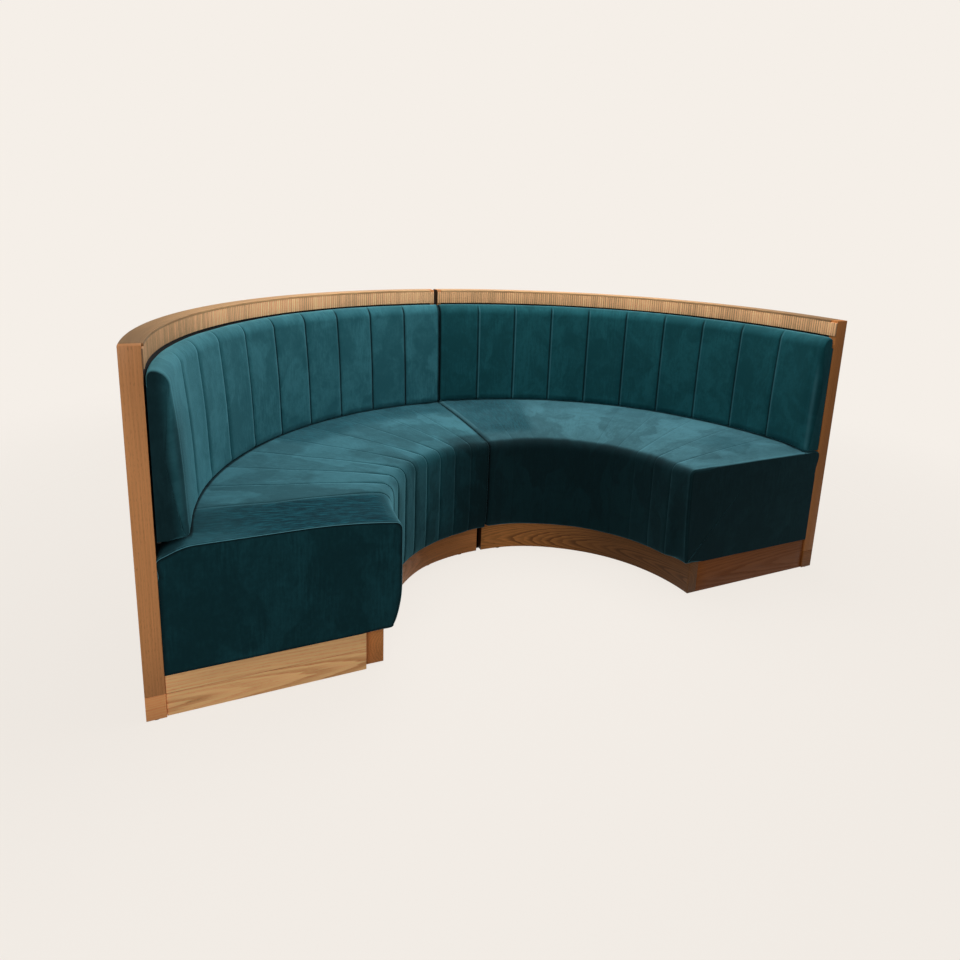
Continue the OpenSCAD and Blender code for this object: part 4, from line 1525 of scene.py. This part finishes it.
@dataclass
class SeatCushion(ChannelledCushion):
    """Seat cushion: a rounded front that tucks in at its hem, a slightly rising top, and a fall at the back.

    Behind it stands the back cushion, whose shape tells where its foot meets the seat.
    """

    behind: PadShape = field(kw_only=True)
    row_count: int = 176
    top_tone: float = 0.5
    puff: float = 5.0 * MM
    top_puff: float = 0.5 * MM
    hem_edge: float = 6 * MM
    crevice_tone: float = 0.85
    name: str = "seat"

    def outline(self, shape: SeatShape) -> Array:
        """From the back, along the top, over the rounded edge, down the bowed front and round the hem.

        The top rises as rise (1 - (1 - t / reach)^2) from its front edge and falls as fall u^1.6 to the back
        frame. The front stands out from the hem by the bow, which it reaches as sin of a quarter turn to the
        power 0.8.

        Args:
            shape: The seat's shape there.

        Returns:
            The path.
        """
        s = self.space.sizes
        edge_z = s.seat_h + shape.edge_up
        radius, front_r = shape.round_r, shape.hem_r - shape.bow
        t = np.linspace(0, 1, 26)
        r = front_r + radius + (s.seat_back_r - front_r - radius) * t
        top = edge_z + shape.rise * (1 - np.clip(1 - t / shape.rise_reach, 0, 1) ** 2)
        top = top - shape.fall * np.clip((r - (s.seat_back_r - shape.fall_w)) / shape.fall_w, 0, 1) ** 1.6
        over = arc_points((front_r + radius, edge_z - radius), radius, 90, 180, 8)[1:]
        t = np.linspace(1, 0, 18)[1:-1]
        low, high = s.hem_z + self.hem_edge, edge_z - radius
        stand = np.sin(QUARTER * np.clip(t / shape.bow_reach, 0, 1)) ** 0.8
        face = np.stack([shape.hem_r - shape.bow * stand, low + (high - low) * t], 1)
        hem = arc_points((shape.hem_r + self.hem_edge, low), self.hem_edge, 180, 270, 4)
        return np.vstack([[(s.seat_back_r, s.deck_top)], np.stack([r, top], 1)[::-1], over, face, hem,
                          [(s.hem_inner_r, s.hem_z)]])

    def lining(self, at_end: bool) -> Array:
        """At an end, the foot and back of the panel; further in, up the box's front panel and along the deck.

        Args:
            at_end: Whether the lining is an end's.

        Returns:
            The lining.
        """
        s = self.space.sizes
        inner_back_r, box_r = s.seat_back_r - s.clearance, s.box_r - s.clearance
        if at_end:
            foot = np.stack([np.linspace(s.box_r, inner_back_r, 10), np.full(10, s.hem_z)], 1)
            back = np.stack([np.full(6, s.seat_back_r), np.linspace(s.hem_z + 3 * MM, s.deck_top - 10 * MM, 6)], 1)
            return np.vstack([foot[1:], back])
        under = np.array([(s.hem_inner_r, s.plinth_h - s.clearance), (box_r, s.plinth_h - s.clearance)])
        rise = np.linspace(s.plinth_h, s.deck_top, 5)[1:]
        rise[-1] += s.clearance
        deck = np.linspace(s.box_r, inner_back_r, 10)[1:]
        return np.vstack([under, np.stack([np.full(4, box_r), rise], 1),
                          np.stack([deck, np.full(9, s.deck_top + s.clearance)], 1)])

    def swell(self, way: Array) -> Array:
        """Little on the top and more down the front, with none at the back or the hem."""
        full = self.top_puff + (self.puff - self.top_puff) * smooth_step(way, 0.5, 0.16)
        return full * smooth_step(way, 0.0, 0.1) * smooth_step(way, 1.0, -0.08)

    def pinch(self, way: Array) -> Array:
        """Seams are shallow on the top and fade towards the back."""
        at_back, over_top = 0.10, 0.14
        low = self.plan.low_pinch - at_back - over_top  # the three add up to low_pinch at the hem
        return at_back + over_top * smooth_step(way, 0.0, 0.45) + low * smooth_step(way, 0.54, 0.12)

    def face(self, way: Array) -> Array:
        """The front has the face roll, the top the rim roll."""
        return smooth_step(way, 0.53, 0.05)

    def piping(self, way: Array) -> Array:
        """A line shows all along the top and the front."""
        return np.ones_like(way)

    def lipped(self, way: Array) -> Array:
        """Down the front only."""
        return smooth_step(way, 0.5, 0.08)

    def crevice(self, way: Array, r: Array) -> Array:
        """Painted shade from the foot of the back cushion on."""
        foot_r = self.space.sizes.pad_back_r - self.space.sizes.pad_foot_t - self.behind.foot_more
        return self.crevice_tone * smooth_step(r, foot_r - 0.9 * self.gap_reach, self.gap_reach)


@dataclass
class BackCushion(ChannelledCushion):
    """Back cushion: a slightly raked face, a small foot edge and a rounded head that leans back."""

    row_count: int = 104
    seam_depth: float = 4.0 * MM
    seam_half_w: float = 4.0 * MM
    foot_edge: float = 9 * MM
    belly: float = 4 * MM
    puff: float = 4.0 * MM
    head_back: float = 15 * MM
    head_front_h: float = 44 * MM
    head_back_h: float = 20 * MM
    crest_down: float = 0.5 * MM
    crevice_tone: float = 0.9
    name: str = "back_pad"

    def outline(self, shape: PadShape) -> Array:
        """From behind the head, over it, down the raked face, round the foot's edge and under to the back.

        The head is two quarters of ellipses that meet at its crest, a steep long one in front.

        Args:
            shape: The pad's shape there.

        Returns:
            The path.
        """
        s = self.space.sizes
        crest_r, crest_z = s.pad_back_r - self.head_back, s.pad_top - self.crest_down
        foot_z = s.pad_z + shape.foot_up
        face_r = s.pad_back_r - s.pad_head_t - shape.head_more, s.pad_back_r - s.pad_foot_t - shape.foot_more
        q = np.radians(np.linspace(0, 90, 7))
        behind = np.stack([crest_r + self.head_back * np.cos(q), crest_z - self.head_back_h * (1 - np.sin(q))], 1)
        q = np.radians(np.linspace(90, 180, 12))[1:]
        front = np.stack([crest_r + (crest_r - face_r[0]) * np.cos(q),
                          crest_z - self.head_front_h * (1 - np.sin(q))], 1)
        t = np.linspace(0, 1, 14)[1:, None]
        low = np.array([face_r[1], foot_z + self.foot_edge])
        face = front[-1] + (low - front[-1]) * t
        face[:, 0] -= (self.belly * np.sin(np.pi * t) * (1 - t**4))[:, 0]
        foot = arc_points((face_r[1] + self.foot_edge, low[1]), self.foot_edge, 180, 270, 5)[1:]
        return np.vstack([[(s.pad_back_r, s.pad_board_top)], behind, front, face, foot,
                          [(s.pad_back_r - 1 * MM, foot_z)]])

    def lining(self, at_end: bool) -> Array:
        """At an end, the panel's back edge; further in, behind the foot and up the front of the board.

        Args:
            at_end: Whether the lining is an end's.

        Returns:
            The lining.
        """
        s = self.space.sizes
        foot_z = s.pad_z + self.plan.shape.foot_up + 1 * MM
        r = s.pad_back_r if at_end else s.pad_back_r - s.pad_board_t - s.clearance
        head_z = s.pad_board_top + (-2 * MM if at_end else s.clearance)
        return np.vstack([[(s.pad_back_r, foot_z - 0.5 * MM)],
                          np.stack([np.full(8, r), np.linspace(foot_z, head_z, 8)], 1)])

    def swell(self, way: Array) -> Array:
        """Full over the face, less over the head, none at the foot or behind the head."""
        return self.puff * smooth_step(way, 1.0, -0.1) * smooth_step(way, 0.06, 0.12)

    def pinch(self, way: Array) -> Array:
        """Seams run out behind the head and under the foot."""
        return smooth_step(way, 1.0, -0.08) * smooth_step(way, 0.06, 0.1)

    def face(self, way: Array) -> Array:
        """The face roll runs from below the head to above the foot."""
        return smooth_step(way, 0.14, 0.3) * smooth_step(way, 0.97, -0.12)

    def piping(self, way: Array) -> Array:
        """A line shows over the head only."""
        return 1 - smooth_step(way, 0.16, 0.1)

    def crevice(self, way: Array, r: Array) -> Array:
        """Painted shade along the foot, where it meets the seat."""
        return self.crevice_tone * smooth_step(way, 0.925, 0.03)


# What each section has of its own


PLINTHS = {
    Side.LEFT: {"nearer": 28 * MM, "fade": (0.42, 0.33), "seam_gap": 4 * MM},
    Side.RIGHT: {"nearer": 10 * MM, "fade": (0.55, 0.35), "seam_gap": 0.0},
}
SEATS = {
    Side.LEFT: CushionPlan(
        shape=SeatShape(524 * MM, 4 * MM, 36 * MM, 2 * MM, 20 * MM, 0.8, 2 * MM),
        ends=(
            CushionEnd(SeatShape(531 * MM, 25 * MM, 26 * MM, -18 * MM, 20 * MM, 0.42, 30 * MM, bow_reach=0.42),
                       over_run=5 * MM, face_roll=5 * MM, rim_roll=5 * MM, blend_run=190 * MM, piped=1.0,
                       crown=2 * MM),
            CushionEnd(SeatShape(532 * MM, 13 * MM, 26 * MM, -2 * MM, 20 * MM, 0.8, 4 * MM),
                       over_run=3.5 * MM, face_roll=3.5 * MM, rim_roll=3.5 * MM, blend_run=120 * MM, piped=1.0,
                       crown=0.3 * MM, gap_tone=0.5, dusk=0.75, dusk_run=380 * MM),
        ),
        first=(8.5 / 90, 11 / 90, 14.5 / 90, 18 / 90),
        low_pinch=0.75,
        fullness=(0.9, 0.5, 0.2),
        strokes=(Stroke(-1.0, 1.02, 0.12, 0.02, 0.4, 0.68, 0.97), Stroke(4.6, 10.5, 1.0, 0.1, 0.03, 0.34, 0.6)),
        dark_tones=(1.0, 0.55, 0.35),
        pale_tones=(0.7, 0.06, 0.0),
    ),
    Side.RIGHT: CushionPlan(
        shape=SeatShape(528 * MM, 5 * MM, 34 * MM, 4 * MM, 17 * MM, 0.8, 2 * MM),
        ends=(
            CushionEnd(SeatShape(549 * MM, 18 * MM, 22 * MM, 7 * MM, 4 * MM, 0.8, 0.0, bow_reach=1.0),
                       over_run=9 * MM, face_roll=13 * MM, rim_roll=2.5 * MM, blend_run=90 * MM, piped=0.3,
                       crown=2 * MM),
            CushionEnd(SeatShape(537 * MM, 15 * MM, 34 * MM, 0.0, 20 * MM, 0.8, 6 * MM),
                       over_run=22 * MM, face_roll=16 * MM, rim_roll=12 * MM, blend_run=220 * MM, piped=0.0,
                       crown=0.3 * MM, gap_tone=0.6),
        ),
        low_pinch=0.32,
        fullness=(0.35, 0.12, 0.1),
        # The first stroke darkens the back of the top near the section seam.
        strokes=(Stroke(7.6, 12.0, 0.3, 0.06, 0.1, 0.6, 0.62), Stroke(0.4, 2.3, 0.8, 0.2, 0.1, 0.45, 0.3)),
        dark_tones=(0.8, 0.3, 0.05),
        pale_tones=(0.16, 0.02, 0.0),
    ),
}
BACKS = {
    Side.LEFT: CushionPlan(
        shape=PadShape(7 * MM, 24 * MM, 9.5 * MM),
        ends=(
            CushionEnd(PadShape(7 * MM, 22 * MM, 5 * MM), over_run=22 * MM, face_roll=40 * MM, rim_roll=4 * MM,
                       blend_run=60 * MM, piped=0.3, crown=2.5 * MM, glow=0.7, dusk=0.75, dusk_run=320 * MM),
            CushionEnd(PadShape(5 * MM, 16 * MM, 9 * MM), over_run=4 * MM, face_roll=4 * MM, rim_roll=4 * MM,
                       blend_run=60 * MM, piped=0.6, crown=0.3 * MM, gap_tone=0.9),
        ),
        first=(12 / 90,) * 4,
        fullness=(0.6, 0.9, 1.0),
        dark_tones=(-0.3, 0.75, 1.0),
        pale_tones=(1.0, 0.5, 0.3),
    ),
    Side.RIGHT: CushionPlan(
        shape=PadShape(4 * MM, 12 * MM, 9.5 * MM),
        ends=(
            CushionEnd(PadShape(4 * MM, 10 * MM, 0.0), over_run=22 * MM, face_roll=34 * MM, rim_roll=8 * MM,
                       blend_run=60 * MM, piped=0.2, crown=1.5 * MM, glow=0.95),
            CushionEnd(PadShape(3 * MM, 9 * MM, 9 * MM), over_run=12 * MM, face_roll=11 * MM, rim_roll=6 * MM,
                       blend_run=60 * MM, piped=0.0, crown=0.3 * MM, gap_tone=0.9),
        ),
        dark_tones=(0.55, 0.65, 0.55),
        pale_tones=(0.6, 0.6, 0.85),
    ),
}


# Hidden work and studio


@dataclass(frozen=True)
class HiddenWork:
    """Dresses the nodes that keep their own meshes."""

    finishes: dict[str, bpy.types.Material]
    lined: tuple[str, ...] = ("inner_back_panel", "back_pad_board")

    def dress(self, nodes: dict[str, bpy.types.Object], slots: dict[str, str]) -> None:
        """Gives each node that shows the finish of its material slot, or, behind the cushions, near-black painted
        shade.

        Args:
            nodes: The frame's nodes.
            slots: Material slot of each node.
        """
        for name, node in sorted(nodes.items()):
            if node.hide_render:
                continue
            finish = "dark_lining" if name.endswith(self.lined) else slots[name]
            node.data.materials.clear()
            node.data.materials.append(self.finishes[finish])
            log.info("%s keeps its node, finished as %s", name, finish)


@dataclass(frozen=True)
class Lamp:
    """A rectangular soft lamp that looks at a point."""

    name: str
    at: tuple[float, float, float]
    aim: tuple[float, float, float]
    size: tuple[float, float]
    watts: float

    def build(self) -> None:
        """Adds the lamp to the scene."""
        data = bpy.data.lights.new(self.name, "AREA")
        data.shape, data.size, data.size_y, data.energy = "RECTANGLE", self.size[0], self.size[1], self.watts
        lamp = linked(self.name, data)
        lamp.location = self.at
        lamp.rotation_euler = (Vector(self.aim) - Vector(self.at)).to_track_quat("-Z", "Y").to_euler()


@dataclass(frozen=True)
class Studio:
    """Pale floor, soft light and the photograph's camera."""

    backdrop: Colour = (0.913, 0.863, 0.807)
    bounce: Colour = (0.20, 0.185, 0.17)
    sky: Colour = (0.95, 0.97, 1.0)
    ambient: float = 0.13
    shadow_share: float = 0.10
    floor_half: float = 7.0
    floor_fade: tuple[float, float] = (1.5, 3.6)
    patch: Colour = (0.01, 0.01, 0.01)
    patch_x: tuple[float, float] = (12 * MM, 16 * MM)
    patch_y: float = 0.30
    patch_reach: tuple[float, float] = (0.285, 0.295)
    lamps: tuple[Lamp, ...] = (
        Lamp("Overhead", (0.35, 0.0, 2.4), (0.1, -0.1, 0.5), (2.4, 2.0), 46.0),
        Lamp("Behind", (1.0, 2.4, 2.8), (0.0, -0.2, 0.5), (2.4, 1.2), 14.0),
        Lamp("FrontLeft", (-1.9, -2.6, 1.5), (-1.0, -0.5, 0.4), (1.2, 1.2), 19.0),
    )
    camera_place: tuple[float, float, float] = (-1.0954, -2.3735, 1.3139)
    azimuth: float = -25.016
    elevation: float = 12.653
    roll: float = 2.257
    focal_px: float = 693.515
    centre_px: tuple[float, float] = (486.722, 376.026)
    frame_px: float = 960.0
    sensor_mm: float = 36.0

    def build(self) -> None:
        """Builds the floor, the world, the lamps and the camera."""
        self._floor()
        self._world()
        for lamp in self.lamps:
            lamp.build()
        self._camera()

    def _floor(self) -> None:
        """Adds a level floor: pale and faintly shaded to the camera, dimmer to the object, fading out at its rim.

        A painted shadow lies under the slot between the sections, where the glowing floor would show pale.
        """
        half = self.floor_half
        mesh = bpy.data.meshes.new("Floor")
        mesh.from_pydata([(-half, -half, 0.0), (half, -half, 0.0), (half, half, 0.0), (-half, half, 0.0)], [],
                         [(0, 1, 2, 3)])
        material, tree = new_material("FloorPaper")
        place_of = tree.object_place()
        away = tree.add("VectorMath", {0: place_of}, operation="LENGTH").outputs["Value"]
        at = tree.parts(place_of)
        paper = tree.add("BsdfDiffuse", {"Color": rgba(self.backdrop)})
        glow = tree.add("Emission", {"Color": rgba(self.backdrop), "Strength": 1.0})
        patch = tree.product(tree.ramp(tree.distance(at[0], 0.0), *self.patch_x, 1.0, 0.0),
                             tree.ramp(tree.distance(at[1], self.patch_y), *self.patch_reach, 1.0, 0.0))
        pale = tree.either(self.shadow_share, glow, paper)
        pale = tree.either(patch, pale, tree.add("BsdfDiffuse", {"Color": rgba(self.patch)}))
        dim = tree.add("BsdfDiffuse", {"Color": rgba(self.bounce)})
        level = tree.either(self._seen(tree, "Is Glossy Ray"), dim, pale)
        faded = tree.either(tree.ramp(away, *self.floor_fade), level, tree.add("BsdfTransparent"))
        tree.add("OutputMaterial", {"Surface": faded.outputs[0]})
        mesh.materials.append(material)
        linked("Floor", mesh)

    def _seen(self, tree: Tree, *more: str) -> bpy.types.NodeSocket:
        """Tells what the camera sees directly or through glass from the light on the object.

        Args:
            tree: The tree to add the nodes to.
            more: Further kinds of ray that count as seen.

        Returns:
            1 for what is seen, 0 for the rest.
        """
        path = tree.add("LightPath").outputs
        seen = tree.math("MAXIMUM", path["Is Camera Ray"], path["Is Transmission Ray"])
        for kind in more:
            seen = tree.math("MAXIMUM", seen, path[kind])
        return seen

    def _world(self) -> None:
        """Pale for what the camera sees, and a dim even light on the object."""
        world = bpy.data.worlds.new("Studio")
        world.use_nodes = True
        bpy.context.scene.world = world
        tree = Tree(world.node_tree)
        shown = tree.add("Background", {"Color": rgba(self.backdrop), "Strength": 1.0})
        light = tree.add("Background", {"Color": rgba(self.sky), "Strength": self.ambient})
        tree.add("OutputWorld", {"Surface": tree.either(self._seen(tree), light, shown).outputs[0]})

    def _camera(self) -> None:
        """Adds the camera: its axis from azimuth and elevation, turned by the roll, its shift from the centre."""
        a, e, t = (math.radians(v) for v in (self.azimuth, self.elevation, self.roll))
        back = Vector((math.sin(a) * math.cos(e), -math.cos(a) * math.cos(e), math.sin(e)))
        right = (-back).cross(Vector((0, 0, 1))).normalized()
        up = right.cross(-back)
        right, up = right * math.cos(t) + up * math.sin(t), up * math.cos(t) - right * math.sin(t)
        data = bpy.data.cameras.new("Camera")
        data.sensor_width = self.sensor_mm
        data.lens = self.sensor_mm * self.focal_px / self.frame_px
        data.shift_x = 0.5 - self.centre_px[0] / self.frame_px
        data.shift_y = self.centre_px[1] / self.frame_px - 0.5
        data.clip_end = 50.0
        camera = linked("Camera", data)
        turn = Matrix((right, up, back)).transposed().to_4x4()
        camera.matrix_world = Matrix.Translation(self.camera_place) @ turn
        bpy.context.scene.camera = camera


def make_finishes() -> dict[str, bpy.types.Material]:
    """Makes every finish of the object.

    Returns:
        The materials, by the names that the sub-assemblies use.
    """
    figure, nap = wood_figure_group(), nap_group()
    light, dark = (0.50, 0.215, 0.078), (0.33, 0.125, 0.040)
    frame_cut, foot_cut = Cut(0.62, 0.55, 0.004, 5.5 * MM, 0.012), Cut(0.09, -0.05, 0.03, 6.0 * MM, 0.02)
    reed_cut = Cut(-3.0, 1.15, 0.01, 11.0 * MM, 0.004)
    oaks = {
        # The right-hand post, foot, plinth front and plinth end board are shaded copies of the left-hand ones: their
        # darker colours are painted shade.
        "left_post": OakFinish("OakPostLeft", light, dark, frame_cut, 1.0, 0.25, fibre_share=0.08),
        "right_post": OakFinish("OakPostRightShaded", (0.47, 0.178, 0.051), (0.31, 0.103, 0.026), frame_cut, 11.0, 0.35,
                                fibre_share=0.10),
        "oak": OakFinish("OakFrame", light, dark, frame_cut, 1.0, 0.6),
        # The rail, the left reeds and the right plinth front darken towards their ends by end_tone, as painted shade.
        "oak_rail": OakFinish("OakRail", (0.52, 0.300, 0.140), (0.37, 0.185, 0.078),
                              Cut(1.06, 0.97, 0.01, 4.5 * MM, 0.02), 4.0, 0.5, end_tone=0.55, end_reach=(0.0, 0.5)),
        "left_foot": OakFinish("OakFootLeft", (0.84, 0.37, 0.14), (0.52, 0.20, 0.068), foot_cut, 9.0, 0.6),
        "right_foot": OakFinish("OakFootRightShaded", (0.28, 0.100, 0.024), (0.20, 0.064, 0.013), foot_cut, 9.4),
        "left_reeds": OakFinish("OakReedsLeft", (0.88, 0.515, 0.265), (0.62, 0.34, 0.155), reed_cut, 2.0, 0.15, REEDS,
                                end_tone=0.54, end_reach=(0.05, 0.5)),
        "right_reeds": OakFinish("OakReedsRight", (0.80, 0.455, 0.225), (0.55, 0.285, 0.125), reed_cut, 2.5, 0.15,
                                 REEDS),
        "oak_veneer": OakFinish("OakVeneer", light, dark, Cut(0.5, 1.33, 0.02, 7.0 * MM, 0.035), 6.0),
        "left_plinth_veneer": OakFinish("PlinthVeneerLeft", (0.54, 0.205, 0.060), (0.36, 0.125, 0.034),
                                        Cut(0.055, 0.52, 0.02, 8.0 * MM, 0.03), 3.0, 0.4),
        "right_plinth_veneer": OakFinish("PlinthVeneerRight", (0.54, 0.212, 0.056), (0.12, 0.043, 0.011),
                                         Cut(0.045, 0.55, 0.06, 4.2 * MM, 0.03), 3.4, 0.7, end_tone=0.28,
                                         end_reach=(0.35, 1.0)),
        "left_plinth_oak": OakFinish("PlinthOakLeft", (1.0, 0.56, 0.245), (0.52, 0.235, 0.082),
                                     Cut(0.030, 0.0875, 0.05, 9.0 * MM, 0.015), 5.0, 0.7, fibre_share=0.12,
                                     joint_z=70 * MM),
        "right_plinth_oak": OakFinish("PlinthOakRightShaded", (0.21, 0.059, 0.006), (0.145, 0.037, 0.003),
                                      Cut(0.05, 0.09, 0.05, 8.0 * MM, 0.02), 8.0, 0.7),
        # Near-black painted shade for the seam boards in the slot.
        "seam_board_oak": OakFinish("SeamBoard", (0.05, 0.025, 0.012), (0.03, 0.015, 0.007),
                                    Cut(0.3, 0.3, 0.02, 6.0 * MM, 0.02), 7.0),
    }
    top_rim, right_rim, back_rim = (0.17, 0.47, 0.56), (0.20, 0.54, 0.64), (0.115, 0.345, 0.41)
    # The left and right copies differ partly by how each section's pile lies and partly by painted shade, most of all
    # on the darker right seat. The rim colours are painted sheen.
    velvets = {
        "left_seat": VelvetFinish("SeatVelvetLeft", (0.004, 0.036, 0.044), (0.010, 0.072, 0.088), top_rim, 1.3,
                                  patches=0.26, lip_share=0.55, panel_share=0.95),
        "right_seat": VelvetFinish("SeatVelvetRight", (0.0022, 0.015, 0.0185), (0.0036, 0.024, 0.029), right_rim, 2.6,
                                   patches=0.24, lip_share=0.25, panel_share=0.8),
        "left_back": VelvetFinish("BackVelvetLeft", (0.0205, 0.115, 0.139), (0.043, 0.190, 0.226), back_rim, 5.1,
                                  patches=0.17, lip_share=0.7, panel_share=0.20),
        "right_back": VelvetFinish("BackVelvetRight", (0.0062, 0.067, 0.079), (0.0125, 0.106, 0.124), back_rim, 7.7,
                                   patches=0.15, lip_share=0.6, panel_share=0.8),
    }
    hidden = {
        "plywood": HiddenFinish("Plywood", (0.62, 0.43, 0.25), (0.47, 0.30, 0.16), (6.0, 6.0, 120.0), 0.7),
        # Near-black painted shade for the boards behind the cushions.
        "dark_lining": HiddenFinish("ShadeBehindCushions", (0.018, 0.016, 0.015), (0.010, 0.009, 0.009),
                                    (90.0, 90.0, 300.0), 0.9),
        "foam": HiddenFinish("Foam", (0.78, 0.70, 0.46), (0.66, 0.57, 0.34), (300.0,) * 3, 0.95),
        "steel": HiddenFinish("ZincSteel", (0.60, 0.60, 0.58), (0.42, 0.43, 0.44), (60.0,) * 3, 0.35, 1.0),
        "glide_nylon": HiddenFinish("GlideNylon", (0.030, 0.030, 0.032), (0.018, 0.018, 0.02), (200.0,) * 3, 0.5),
    }
    return {
        **{key: finish.material(figure) for key, finish in oaks.items()},
        **{key: finish.material(nap) for key, finish in velvets.items()},
        **{key: finish.material() for key, finish in hidden.items()},
    }


def main() -> None:
    """Builds the studio and both sections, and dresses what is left."""
    bpy.context.scene.view_settings.view_transform = "Standard"
    Studio().build()
    sizes = BoothSizes.from_frame()
    finishes = make_finishes()
    for side in Side:
        space = SectionSpace(side, sizes)
        joinery = Joinery(space)
        BackFrame(joinery, finishes).build()
        Plinth(joinery, finishes, **PLINTHS[side]).build()
        SeatCushion(space, finishes[side.prefix + "seat"], SEATS[side], behind=BACKS[side].shape).build()
        BackCushion(space, finishes[side.prefix + "back"], BACKS[side]).build()
    slots = {row["node"]: row["material_slot"] for row in frame["record"]["subparts"]}
    HiddenWork(finishes).dress(frame["nodes"], slots)


if __name__ == "__main__":
    main()
